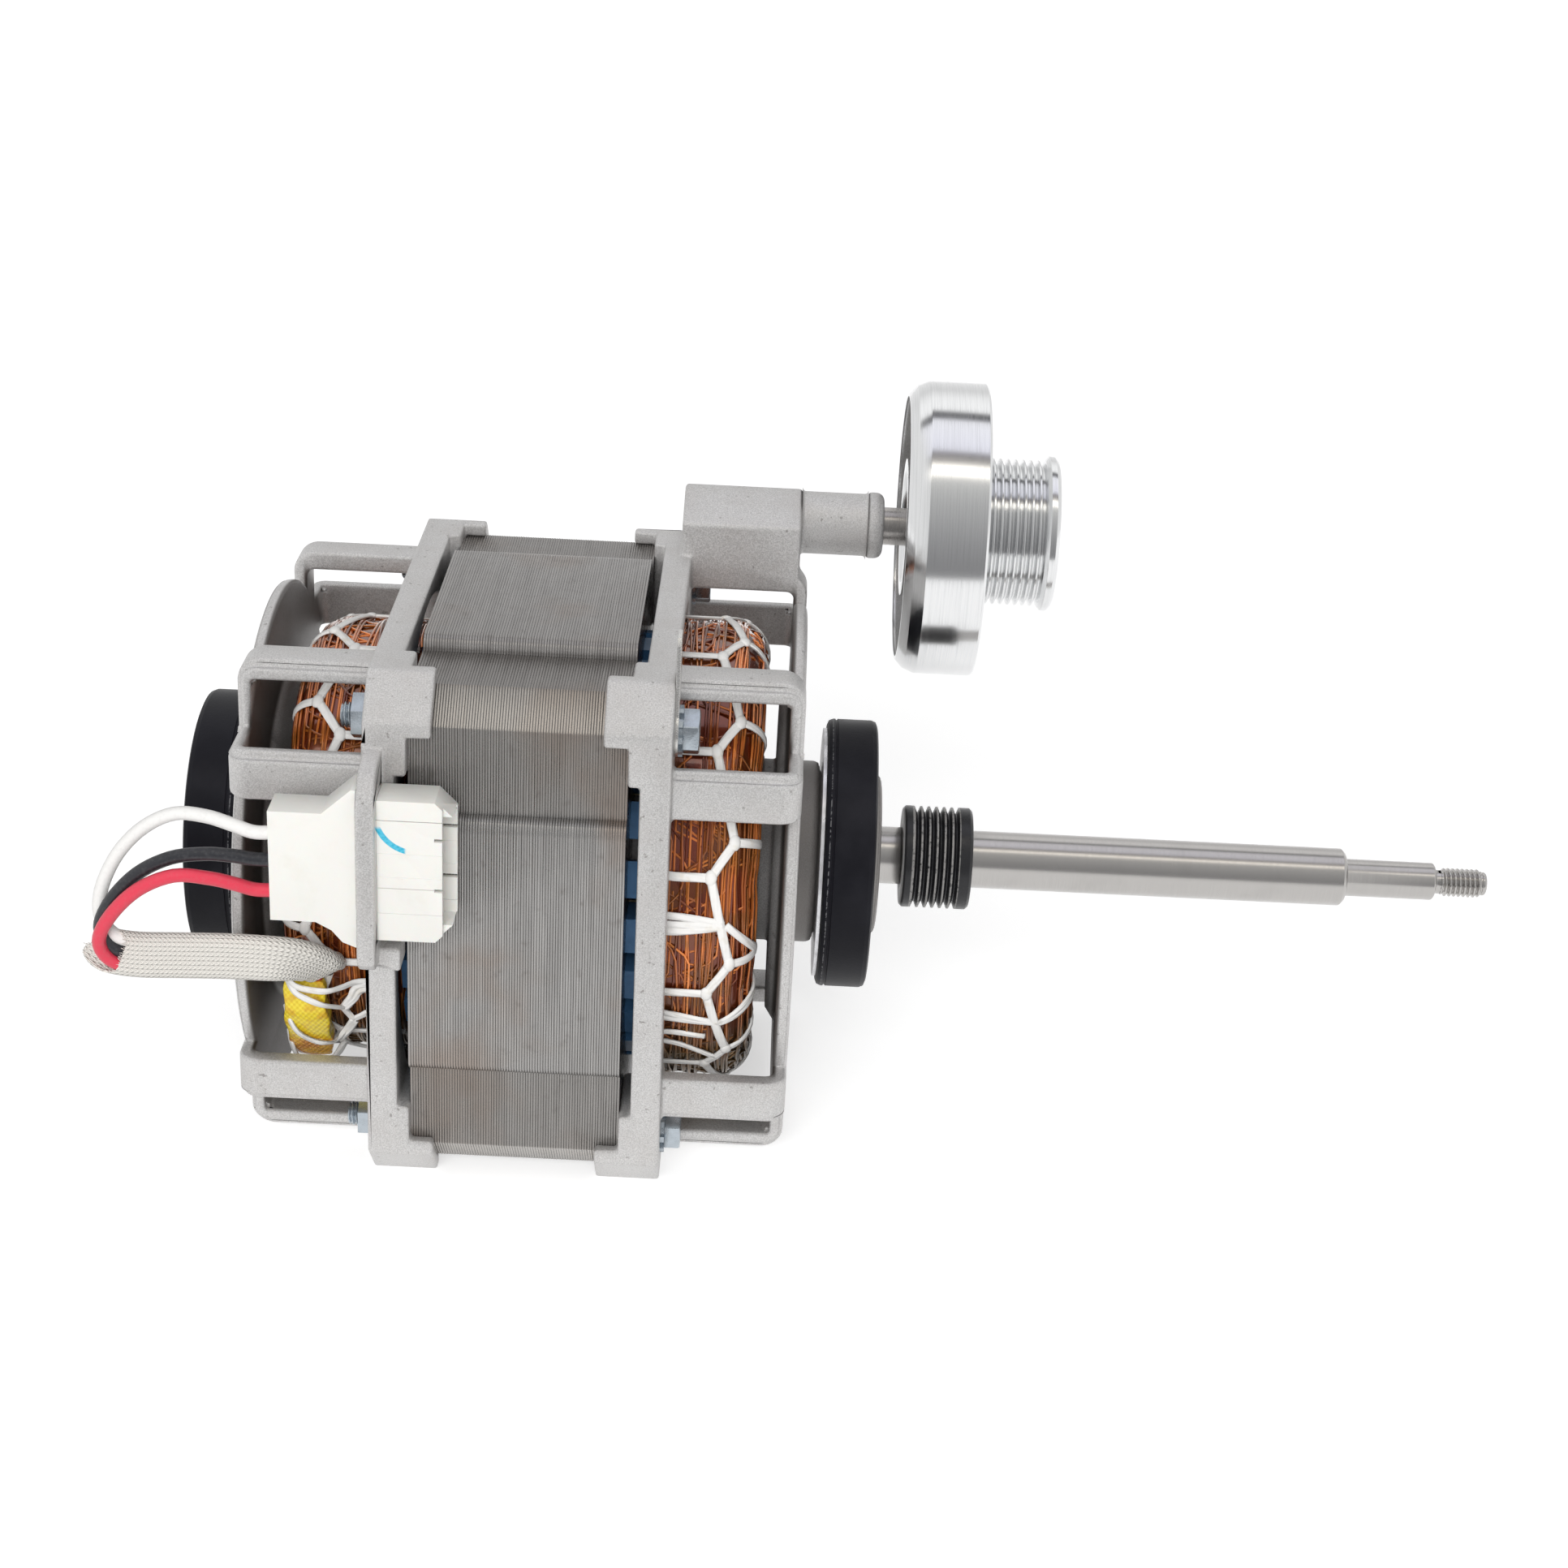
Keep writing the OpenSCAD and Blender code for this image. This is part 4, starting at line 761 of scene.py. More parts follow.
def net(bundle, first, stack_side, far_side, turn):
    """Legs of the hexagon net; stack_side and far_side are distances along the skin."""
    legs = []
    end = bundle.length / MM
    for k in range(360 // TIE_STEP):
        a = first + TIE_STEP * k
        near, far = (a, stack_side), (a + turn, far_side)
        legs.append([near, far])
        legs.append([near, (a + turn - math.copysign(TIE_STEP, turn), far_side)])
        legs.append([(a - 0.5, 0.3), (a, stack_side * 0.5), near])
        legs.append([far, (a + turn, far_side + 6), (a + turn, end * 0.7), (a + turn, end - 0.4)])
    return legs


# end turns, first angle, the net's two distances from the stack in mm, and its slant
nets = {
    "front": (front_end, 103, 13.4, 17.6, -8.5),
    "rear": (rear_end, 101.5, 13.2, 18.4, -9.5),
}
for side, numbers in nets.items():
    laced = lacing_cord(numbers[0], net(*numbers), f"{side}_net")
    settle(laced, f"{side}_lacing_cord", cord_white,
           stands_for=[f"{side}_lacing"])

# %% [markdown]
# The lacing's crossings are small knots. Each is one turn of the cord round the other, so
# a flattened ball is modelled once and laid at every crossing, tilted to the skin.

# %% Knots at the crossings
KNOT_SIZE = Vector((1.7, 1.25, 0.62)) * MM
KNOT_LIFT = 0.5 * MM


def knots(name, bundle, first, stack_side, far_side, turn):
    """One small knot at each end of each leg of the net."""
    bpy.ops.mesh.primitive_uv_sphere_add(segments=10, ring_count=6, radius=1)
    ball = bpy.context.object
    shape = np.array([v.co for v in ball.data.vertices]) * KNOT_SIZE
    faces = [tuple(p.vertices) for p in ball.data.polygons]
    bpy.data.objects.remove(ball)
    angles = [first + TIE_STEP * k for k in range(360 // TIE_STEP)]
    places = [p for a in angles for p in ((a, stack_side), (a + turn, far_side))]
    points, joined = [], []
    for number, (angle, along) in enumerate(places):
        here = bundle.point(angle, along * MM, KNOT_LIFT)
        out = bundle.outward(angle, along * MM)
        side = unit_rows(np.cross(out, (1.0, 0.2 * (number % 3 - 1), 0)))
        other = np.cross(out, side)
        joined += [tuple(i + len(points) * len(shape) for i in f) for f in faces]
        points.append(here + shape @ np.array([side, other, out]))
    return settle(new_piece(name, points, joined), name, cord_white)


for side, numbers in nets.items():
    knots(f"{side}_knots", *numbers)

# %% [markdown]
# A few bands are doubled where the lacer took a second turn, and the cord ends in a knot
# with a loose tail at the front.

# %% Extra bands and the loose end
front_extra = [
    [(174.2, 0.4), (174.6, 8), (174.2, 16.4)],
    [(176.4, 0.4), (176.2, 8), (174.6, 16.2)],
    [(172.2, 0.4), (172.6, 8), (173.8, 16.2)],
    [(174.2, 16.6), (177, 19), (181, 22.5), (184.3, 25.5)],
    [(174.4, 16.8), (178, 20), (182, 23.8), (185.2, 27.5)],
    [(200.5, 0.4), (202, 8), (202.9, 16)], [(198.6, 0.4), (200.6, 8), (202.6, 15.6)],
    [(202.9, 16), (200.5, 22), (199, 29)], [(202.6, 16.4), (198.6, 22), (197, 29)],
    [(208, 0.4), (207, 6), (208.3, 13.4)], [(218.3, 15.6), (212, 8), (210.5, 0.4)],
]
extra = lacing_cord(front_end, front_extra, "front_extra", BAND_W)
settle(extra, "front_extra_cord", cord_white)

# %% [markdown]
# The cords that tie the protector down leave the skin and climb over it, so their corners
# have a radius too.


# %% Cords round the protector
BAND_STEPS = 7
NOSE_FROM, NOSE_LENGTH = 21, 6


def free_cords(bundle, legs, name, width):
    """Cords whose corners are angle in degrees, distance from the stack and radius in mm."""
    paths, tops = [], []
    for leg in legs:
        angle, far, radius = smooth_path(leg, BAND_STEPS).T
        y, z = np.cos(np.radians(angle)), np.sin(np.radians(angle))
        x = bundle.face / MM + bundle.sign * far
        paths.append(np.stack([x, radius * y, radius * z], axis=1) * MM)
        lean = np.clip((far - NOSE_FROM) / NOSE_LENGTH, 0, 0.8) * bundle.sign
        tops.append(unit_rows(np.stack([lean, y, z], axis=1)))
    return cord_mesh(name, paths, tops, width)


ON_BAG = 50.3
ON_COIL = 45.6
round_bag = [
    [(190, 25.4, 47.5), (192.9, 24.1, 49.6), (194.6, 21.8, ON_BAG), (195.3, 17.1, ON_BAG),
     (196.4, 14.2, 48), (196.9, 10.9, ON_COIL), (197, 4, ON_COIL)],
    [(191, 25.6, 47), (193.7, 24.2, 49.4), (196.5, 22.5, ON_BAG), (199.4, 18.4, ON_BAG),
     (203.2, 15.9, 48), (205.9, 14.6, 46.4)],
    [(205.9, 14.6, 46.4), (202.5, 12.9, 45.9), (198.3, 11, ON_COIL), (197.6, 4, ON_COIL)],
    [(206.2, 14.2, 46.4), (203, 12.2, 45.9), (199.8, 10.4, ON_COIL), (199, 4, ON_COIL)],
    [(205.8, 14.6, 46.3), (209, 13.8, 45.9), (211.2, 12.8, 46.2)],
    [(211.2, 12.8, 46.2), (210, 11.1, 45.8), (208.2, 9.1, ON_COIL), (207, 4, ON_COIL)],
    [(211.2, 12.8, 46.2), (216.1, 14.8, 46.7), (217.2, 16.6, 48.7), (214.8, 18.6, ON_BAG),
     (213.9, 20.7, ON_BAG), (210.1, 23.5, ON_BAG), (206.4, 25.2, 48.8), (205, 26, 46.8)],
    [(212, 12.6, 46.2), (216.4, 14.2, 46.7), (218.7, 16.2, 48)],
    [(216, 26.2, 47), (218.5, 25.6, 49.2), (223.4, 24.6, ON_BAG), (225.6, 21.5, ON_BAG),
     (225, 17.6, 49.6), (222.5, 15.4, 47)],
    [(217.7, 15.8, 47.6), (227.1, 14.6, 46.2), (232, 11, 46), (233, 4, ON_COIL)],
]
bound = free_cords(rear_end, round_bag, "bound", BAND_W)
settle(bound, "protector_cords", cord_white)

# %% [markdown]
# The thermal protector is a small switch in a woven yellow bag, whose lower half is wrapped
# in amber film. It is tied against the winding, so it bends round it. A block is rounded
# and subdivided, and its points are then laid along the winding's curve.

# %% Thermal protector
protector_low, protector_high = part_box("thermal_protector")
PROTECTOR_TURN = math.radians(210.2)
PROTECTOR_R = 47.5 * MM
PROTECTOR_SIZE = Vector((8.6, 24.5, 4.6)) * MM
TAIL = 0.45
TAIL_THIN = 0.55
TAIL_SINK = 0.8 * MM
NARROWED = 0.12
WAVY, WAVES = 0.05, 9
PLUMP = 1.02
CROWNED = 0.25

bpy.ops.mesh.primitive_cube_add(size=1)
bag = bpy.context.object
bag.scale = PROTECTOR_SIZE
bpy.ops.object.transform_apply(scale=True)
with editing(bag):
    bpy.ops.mesh.subdivide(number_cuts=6)
modify(bag, "SUBSURF", levels=2, render_levels=2)
bag.data.shade_smooth()
mid_x = (protector_low.x + protector_high.x) / 2
for vertex in bag.data.vertices:
    across, along, out = vertex.co
    share = along / PROTECTOR_SIZE.y * 2
    tail = min(1, max(0, (-share - TAIL) / (1 - TAIL)))
    across *= (1 - NARROWED * share * share - WAVY * math.sin(share * WAVES)) * PLUMP
    out *= (1 - CROWNED * (2 * across / PROTECTOR_SIZE.x) ** 2) * (1 - TAIL_THIN * tail)
    angle = PROTECTOR_TURN + along / PROTECTOR_R
    radius = PROTECTOR_R + out - TAIL_SINK * tail
    vertex.co = (mid_x + across, radius * math.cos(angle), radius * math.sin(angle))
bag_finish = Finish("protector bag", (0.80, 0.60, 0.03), 0.45, Coat_Weight=0.5,
                    Coat_Roughness=0.12)
height_z = bag_finish.axis(2)
ragged = bag_finish.noise(0.5, 2) * 2.4
film = (height_z + ragged).above(-26.6, -27.6)
weave = (height_z * 4.6).wave() * (bag_finish.axis(0) * 5.6).wave()
stain = bag_finish.noise(0.35, 3)
woven = bag_finish.blend(weave.above(-0.8, 0.8), (0.76, 0.56, 0.015), (0.91, 0.73, 0.05))
amber = bag_finish.blend(stain.above(0.35, 0.65), (0.60, 0.22, 0.008), (0.86, 0.46, 0.03))
skin = bag_finish.coats(woven, (stain.above(0.46, 0.64) * 0.7, (0.66, 0.34, 0.02)), (film, amber))
bag_finish.dress(skin, weave * 0.4 + stain * 2, 0.15, rough=film * -0.2 + 0.48)
settle(bag, "protector_bag", bag_finish, stands_for=["thermal_protector"])

# %% [markdown]
# The stack is eighty thin steel sheets, and their edges show as fine lines all round.
# The lines are real grooves here: the long edges of the stack are cut into even steps, and
# the ring of points between each two sheets sinks a little. Varnish and rust tint the steel.

# %% Stack of laminations
SHEETS = 80
GROOVE_DEPTH = 0.11 * MM
SHEET_SPREAD = 0.04 * MM
RIM_FROM = 50.2 * MM
BOLT_AT = 43.3 * MM
BOLT_CLEAR = 4 * MM

stack = merged_copy("stator_core")
with editing(stack, "DESELECT"):
    bpy.ops.mesh.select_mode(type="EDGE")
mesh = stack.data
thickness = stack_high.x - stack_low.x
outer = []
for edge in mesh.edges:
    a, b = (mesh.vertices[i].co for i in edge.vertices)
    spans = abs(a.x - b.x) > 0.99 * thickness
    near_bolt = math.hypot(abs(a.y) - BOLT_AT, abs(a.z) - BOLT_AT) < BOLT_CLEAR
    if spans and math.hypot(a.y, a.z) > RIM_FROM and not near_bolt:
        edge.select = True
        outer.append(edge.index)
print("long edges of the stack:", len(outer))
with editing(stack, None):
    bpy.ops.mesh.subdivide(number_cuts=SHEETS - 1)
    bpy.ops.mesh.subdivide(number_cuts=2)


# %% Grooves between the sheets
def read_rows(data, key):
    """Three numbers of each point, as rows."""
    rows = np.empty(len(data) * 3)
    data.foreach_get(key, rows)
    return rows.reshape(-1, 3)


pitch = thickness / SHEETS
dice = np.random.default_rng(7)
proud = dice.uniform(0, 1, SHEETS + 1) * SHEET_SPREAD
places = read_rows(mesh.vertices, "co")
normals = read_rows(mesh.vertex_normals, "vector") * (0, 1, 1)
step = (places[:, 0] - stack_low.x) / pitch
at_rim = np.hypot(places[:, 1], places[:, 2]) > RIM_FROM
at_bolt = np.hypot(abs(places[:, 1]) - BOLT_AT, abs(places[:, 2]) - BOLT_AT) < BOLT_CLEAR
inside = (step > 0.1) & (step < SHEETS - 0.1) & at_rim & ~at_bolt
sink = np.where(abs(step - np.round(step)) < 0.1, GROOVE_DEPTH, proud[step.astype(int)])
places -= unit_rows(normals) * (sink * inside)[:, None]
mesh.vertices.foreach_set("co", places.ravel())
mesh.update()

# %% Steel with varnish and rust, painted shadow and grime on the plain faces, and a painted highlight on the corners
FLAT_TO = (27.4, 28.2)
CORNER_FROM = (44.4, 45.2)
CORNER_HIGHLIGHT_TO = (53.5, 46)
ROOF_FROM = (50.4, 51)
steel = Finish("lamination steel", (0.35, 0.34, 0.33), 0.38, 0.65)
sheet = steel.axis(0) * (MM / pitch) + (-stack_low.x / pitch)
line = (sheet.fraction() - 0.5).size()
across, height_z = (steel.axis(i).size() for i in (1, 2))
least = across.smaller(height_z)
# partly painted shadow of the lugs, partly grime: the plain faces beyond the plateau are darker
flat_shadow_and_grime = least.above(*FLAT_TO)
# painted highlight: the lower part of each corner arc is painted lighter and creamier
corner = least.above(*CORNER_FROM) * height_z.above(*CORNER_HIGHLIGHT_TO)
roof = steel.axis(2).above(*ROOF_FROM)
each = steel.noise(2.3, 2, where=steel.place(scale=(0.9, 0.02, 0.02)))
rust = steel.noise(0.035, 3, 0.55)
grime = steel.noise(0.3, 4, 0.65)
edges = steel.blend(each.above(0.3, 0.7), (0.31, 0.302, 0.295), (0.40, 0.39, 0.38))
edges = steel.coats(
    edges,
    (rust.above(0.5, 0.72) * 0.55, (0.30, 0.215, 0.16)),
    (grime.above(0.58, 0.8) * 0.5, (0.17, 0.15, 0.135)),
    (flat_shadow_and_grime * 0.4, (0.17, 0.155, 0.14)),
    (roof * 0.3, (0.18, 0.155, 0.145)),
    (corner * 0.5, (0.60, 0.56, 0.51)),
    (line.above(0.30, 0.46), (0.055, 0.052, 0.05)),
)
steel.dress(edges, grime, 0.012, rough=grime * 0.25 + 0.15)
smooth_by_angle(stack, 22)
settle(stack, "lamination_stack", steel, stands_for=["stator_core"])

# %% [markdown]
# Both end shields are aluminium castings, blasted with fine grit. Their edges are soft and
# their skin sparkles. A copy of each solid gets edges rounder than its tightest corners
# allow, and the few points that fly off there are put back on the skin. The finish paints
# shade on the inner wall, deep in its recess, and darkens the boss round the bearing.


# %% Cast shields
def cast_finish(name, wall_in, hub_from, hub_to):
    """Blasted casting with painted shade on the inner wall at wall_in and a darker hub, all in mm.
    """
    finish = Finish(name, (0.60, 0.59, 0.585), 0.45, 0.6)
    x = finish.axis(0)
    radius = finish.radius()
    grit = finish.noise(3.8, 3, 0.7)
    cloud = finish.noise(0.11, 3)
    pits = finish.noise(0.75, 2)
    # painted shade on the inner wall, deep in its recess
    inner = (x - wall_in).size().above(0.9, 0.25) * radius.above(57, 53)
    hub = (x - hub_from).above(-0.1, 0.15) * (x - hub_to).above(0.1, -0.15) * radius.above(22, 20)
    skin = finish.coats(
        finish.blend(grit.above(0.34, 0.68), (0.50, 0.492, 0.486), (0.76, 0.752, 0.745)),
        (cloud.above(0.35, 0.75) * 0.3, (0.52, 0.49, 0.47)),
        (pits.above(0.68, 0.76) * 0.6, (0.20, 0.18, 0.17)),
        (inner * 0.88, (0.075, 0.062, 0.056)),
        (hub * 0.8, (0.19, 0.175, 0.165)),
    )
    return finish.dress(skin, grit + pits * 0.5, 0.09, rough=grit * 0.5 + 0.2)


EDGE_MM = 0.75
THROWN_OFF = 0.4 * MM
SAME_CORNER = 1.5 * MM


def pull_back(piece, original):
    """Puts points that a wide bevel threw off back on the skin, or between neighbours."""
    points = piece.data.vertices
    skin = {}
    for vertex in points:
        _, place, _, _ = original.closest_point_on_mesh(vertex.co)
        if (place - vertex.co).length > THROWN_OFF:
            skin[vertex.index] = place
    thrown = set(skin)
    beside = {index: [] for index in thrown}
    for edge in piece.data.edges:
        for here, there in (edge.vertices, reversed(edge.vertices)):
            if here in thrown:
                beside[here].append(there)
    print("points pulled back:", len(thrown))
    waiting = sorted(thrown)
    while waiting:
        ready = [k for k in waiting if any(n not in thrown for n in beside[k])]
        for k in ready:
            kept = [points[n].co for n in beside[k] if n not in thrown]
            nearest = min(kept, key=lambda place: (place - points[k].co).length)
            near = [place for place in kept if (place - nearest).length < SAME_CORNER]
            middle = sum(near, Vector()) / len(near)
            by_skin = min((place - skin[k]).length for place in kept) < 2 * SAME_CORNER
            points[k].co = skin[k] if by_skin else middle
        thrown -= set(ready)
        waiting = [k for k in waiting if k in thrown] if ready else []
    bpy.data.objects.remove(original)
    return piece


# each shield with its inner wall and its hub's two ends, along X in mm
casting_marks = (("front_shield", -13.4, -10.4, 8), ("rear_shield", -116.7, -134, -119.7))
for node, *marks in casting_marks:
    casting = soften(merged_copy(node), EDGE_MM, 3, 40, clamp=False)
    casting = pull_back(casting, merged_copy(node))
    settle(casting, node + "_casting", cast_finish(node.replace("_", " "), *marks),
           stands_for=[node])

# %% [markdown]
# Four bolts hold everything together. Head, nut and toothed washer are zinc plated, and
# past each nut a few turns of thread show. The thread is a true helix: a grid of points
# wound round the bolt, whose radius rises and falls once for each turn.


# %% Screw threads
def thread_piece(start, end, root_r, crest_r, pitch, centre=(0, 0), sides=36, flare=1.0):
    """A screw thread along X, which fades out over flare pitches at both ends."""
    steps = max(6, int(abs(end - start) / pitch * 8))
    turn = np.arange(sides) * 2 * math.pi / sides
    depth = crest_r - root_r
    rows = []
    for x in np.linspace(start, end, steps + 1):
        phase = ((x - start) / pitch - turn / (2 * math.pi)) % 1.0
        height = np.clip(1.35 - np.abs(phase - 0.5) * 3.1, 0, 1)
        room = min(1.0, min(abs(x - start), abs(end - x)) / (pitch * flare))
        r = root_r + depth * height * room
        if abs(end - x) < SAME_PLACE:
            r = r - depth * 0.5
        y, z = centre[0] + r * np.cos(turn), centre[1] + r * np.sin(turn)
        rows.append(np.stack([np.full(sides, x), y, z], axis=1))
    faces = ring_faces(steps + 1, sides)
    faces += [tuple(range(sides))[::-1], tuple(range(steps * sides, (steps + 1) * sides))]
    piece = new_piece("thread", rows, faces)
    with editing(piece):
        bpy.ops.mesh.normals_make_consistent(inside=False)
    return smooth_by_angle(piece, 50)


def cut_off(piece, x, keep_low):
    """Cuts a piece square to X and closes it, keeping the low or the high side."""
    with editing(piece):
        bpy.ops.mesh.bisect(plane_co=(x, 0, 0), plane_no=(1, 0, 0), use_fill=True,
                            clear_outer=keep_low, clear_inner=not keep_low)
    return piece


def join(pieces):
    pick(pieces[0])
    for other in pieces[1:]:
        other.select_set(True)
    bpy.ops.object.join()
    return bpy.context.object


# %% Bolts, nuts and washers
def plated_finish(name, colour, rough):
    """Bright zinc: cool, a little cloudy, with fine tumbling marks."""
    finish = Finish(name, colour, rough, 0.9)
    cloud = finish.noise(0.6, 3)
    marks = finish.noise(5, 2, 0.7)
    dull = [c * 0.62 for c in colour]
    skin = finish.blend(cloud.above(0.4, 0.75) * 0.3, colour, dull)
    return finish.dress(skin, marks, 0.03, rough=marks * 0.25 + rough * 0.6)


zinc = plated_finish("zinc plate", (0.46, 0.51, 0.555), 0.14)
tin = plated_finish("tinned tab", (0.72, 0.71, 0.69), 0.22)
THREAD_START = -95.9 * MM
BOLT_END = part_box("through_bolts")[0].x
BOLT_R = 2.5 * MM
BOLT_PITCH = 0.8 * MM
ROOT = 0.8
bolts = [cut_off(soften(merged_copy("through_bolts"), 0.2, 2, 30), THREAD_START, False)]
for y in (-BOLT_AT, BOLT_AT):
    for z in (-BOLT_AT, BOLT_AT):
        bolts.append(thread_piece(THREAD_START, BOLT_END, BOLT_R * ROOT, BOLT_R, BOLT_PITCH,
                                  (y, z), 24, 0.7))
settle(join(bolts), "bolts_with_thread", zinc, stands_for=["through_bolts"])
rounded_copy("flange_nuts", (0.25, 2, 30), "rounded_nuts", zinc)
rounded_copy("toothed_washers", (0.08, 1, 30), "rounded_washers", zinc)
rounded_copy("earth_tab", (0.12, 2, 30), "rounded_earth_tab", tin)

# %% [markdown]
# The connector is moulded in white nylon, which lets a little light into its skin. Its
# edges are rounded, and an inspector's blue pen left one stroke on it: the pen's line is
# the part of the face that lies close to an arc.

# %% Connector
PEN_CENTRE = (-81.9, 32.1)
PEN_R = 7.6
LEDGES = ((30.7, 30.9, 1), (24.2, 24.0, 0.6), (19.4, 19.2, 0.6), (16.9, 17.1, 0.6),
          (11.9, 11.7, 1))
LEDGES_FROM = (-89.3, -89.2)
nylon = Finish("white nylon", (0.86, 0.845, 0.80), 0.38, Subsurface_Weight=0.12,
               Subsurface_Scale=0.0015)
x, z = nylon.axis(0), nylon.axis(2)
dirt = nylon.noise(0.16, 4, 0.6)
speck = nylon.noise(1.7, 2)
cream = nylon.blend(dirt.above(0.5, 0.85) * 0.4, (0.84, 0.83, 0.79), (0.74, 0.71, 0.63))
pen_x = x - PEN_CENTRE[0]
pen_z = z - PEN_CENTRE[1]
pen_far = (pen_x * pen_x + pen_z * pen_z).root()
pen = (pen_far - PEN_R).size().above(0.62, 0.45) * pen_x.above(-8.2, -7.6)
pen = pen * pen_x.above(-1.7, -2.3) * pen_z.above(-2.4, -3.2)
ink = nylon.blend(speck.above(0.35, 0.6), (0.03, 0.42, 0.62), (0.10, 0.55, 0.74))
skin = nylon.coats(cream, (speck.above(0.74, 0.80) * 0.5, (0.45, 0.40, 0.33)), (pen, ink))
ledges = sum(z.above(low, high) * share for low, high, share in LEDGES)
height = nylon.noise(0.9, 3) * 0.2 + ledges * x.above(*LEDGES_FROM)
nylon.dress(skin, height, 0.22, rough=speck * 0.25 + 0.28)
rounded_copy("connector_housing", (0.28, 2, 35), "connector_moulding", nylon)

# %% [markdown]
# The shaft is ground steel with a seat and a thread for the blower at its long end. The
# solid gives all but the thread, so the copy is cut where the thread begins.


# %% Shaft with its thread
def ground_finish(name, colour, rough):
    """Ground or turned metal: fine lines run round the piece."""
    finish = Finish(name, colour, rough, 1.0)
    ring = finish.noise(8, 2, 0.6, finish.place(scale=(1, 0.02, 0.02)))
    cloud = finish.noise(0.12, 3)
    dull = [c * 0.8 for c in colour]
    share = ring.above(0.35, 0.7) * 0.25 + cloud.above(0.5, 0.8) * 0.3
    skin = finish.blend(share, colour, dull)
    return finish.dress(skin, ring, 0.0015, rough=ring * 0.1 + (rough - 0.05))


ground = ground_finish("ground steel", (0.50, 0.485, 0.47), 0.24)
THREAD_FROM = 124.7 * MM
THREAD_PITCH = 1.0 * MM
THREAD_R = 3 * MM
THREAD_ROOT_R = THREAD_R * 0.82
TIP_LENGTH = 1.1 * MM
OVERLAP = 0.2 * MM
THREAD_SIDES = 48
shaft_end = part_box("rotor_shaft")[1].x
bar = cut_off(soften(merged_copy("rotor_shaft"), 0.12, 2, 30), THREAD_FROM, True)
thread = thread_piece(THREAD_FROM, shaft_end - TIP_LENGTH + OVERLAP, THREAD_ROOT_R, THREAD_R,
                      THREAD_PITCH, sides=THREAD_SIDES, flare=0.8)
bpy.ops.mesh.primitive_cylinder_add(
    vertices=THREAD_SIDES, radius=THREAD_ROOT_R, depth=TIP_LENGTH,
    location=(shaft_end - TIP_LENGTH / 2, 0, 0), rotation=(0, math.pi / 2, 0))
tip = bpy.context.object
bpy.ops.object.transform_apply(location=True, rotation=True)
soften(tip, 0.6, 4, 35)
shaft = join([bar, thread, tip])
settle(shaft, "threaded_shaft", ground, "rotor", stands_for=["rotor_shaft"])

# %% Motor pulley
BLACK = (0.016, 0.016, 0.018)
BELT_FROM, BELT_TO = 13.4, 23.3
pulley_low, pulley_high = (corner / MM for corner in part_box("motor_pulley"))
black = Finish("black pulley", BLACK, 0.28, 0.25)
radius = black.radius()
x = black.axis(0)
scuff = black.noise(1.2, 3)
crest = radius.above(pulley_high.z - 0.13, pulley_high.z - 0.03)
worn = crest * scuff.above(0.25, 0.5) * (x - BELT_FROM).above(0, 0.2)
worn = worn * (x - BELT_TO).above(0.2, 0)
face = (x - pulley_low.x).above(0.35, 0.1) * radius.above(6.6, 7.0)
coat = black.coats(BLACK, (worn * 0.8, (0.30, 0.29, 0.28)), (face * 0.85, (0.42, 0.42, 0.42)))
black.dress(coat, scuff, 0.03, rough=scuff * 0.3 + 0.18)
rounded_copy("motor_pulley", (0.09, 2, 30), "grooved_motor_pulley", black,
             "rotor")

# %% [markdown]
# The wheel is one aluminium casting, turned bright on its belt band and grooves. Only the
# recess on its left side keeps the rough grey skin of the casting, ribs and all.

# %% Belt wheel
WHEEL_Y = 40
WHEEL_Z = 59
AXLE = (0, -WHEEL_Y, -WHEEL_Z)
HUB_R, RIM_R = (14.7, 15.0), (27.9, 27.4)
RECESS_FROM, RECESS_TO = (9.2, 9.8), (21.4, 21.2)
turned = Finish("turned aluminium", (0.88, 0.885, 0.89), 0.13, 1.0)
where = turned.place(move=AXLE)
x = turned.axis(0)
radius = turned.radius(AXLE)
lathe = turned.noise(5, 3, 0.7, turned.place(scale=(1, 0.012, 0.012)))
grain = turned.noise(2.6, 3, 0.7, where)
nick = turned.noise(0.9, 4, 0.7, where)
recess = radius.above(*HUB_R) * radius.above(*RIM_R) * x.above(*RECESS_FROM)
recess = recess * x.above(*RECESS_TO)
bright = turned.blend(lathe.above(0.4, 0.7) * 0.35, (0.81, 0.815, 0.82), (0.60, 0.605, 0.61))
rough_skin = turned.blend(grain.above(0.35, 0.65), (0.25, 0.235, 0.22), (0.42, 0.40, 0.385))
skin = turned.coats(
    bright, (nick.above(0.7, 0.78) * 0.6, (0.45, 0.44, 0.43)), (recess, rough_skin))
turned.dress(skin, recess * grain * 20 + lathe, 0.004,
             rough=recess * 0.35 + (lathe * 0.16 + 0.09))
turned.set("Metallic", recess * -0.5 + 1)
rounded_copy("belt_wheel", (0.15, 2, 16), "turned_belt_wheel", turned,
             "wheel")

# %% [markdown]
# The other pieces keep their solids and only need a finish: rubber rings, bearings, the
# rotor, liners and wedges. A solid wears a finish by taking it in its first slot.


# %% Finishes of the solids that stay
def wear(finish, *nodes):
    for node in nodes:
        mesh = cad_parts[node].data
        mesh.materials.clear()
        mesh.materials.append(finish.material)
    print("finished:", ", ".join(nodes))


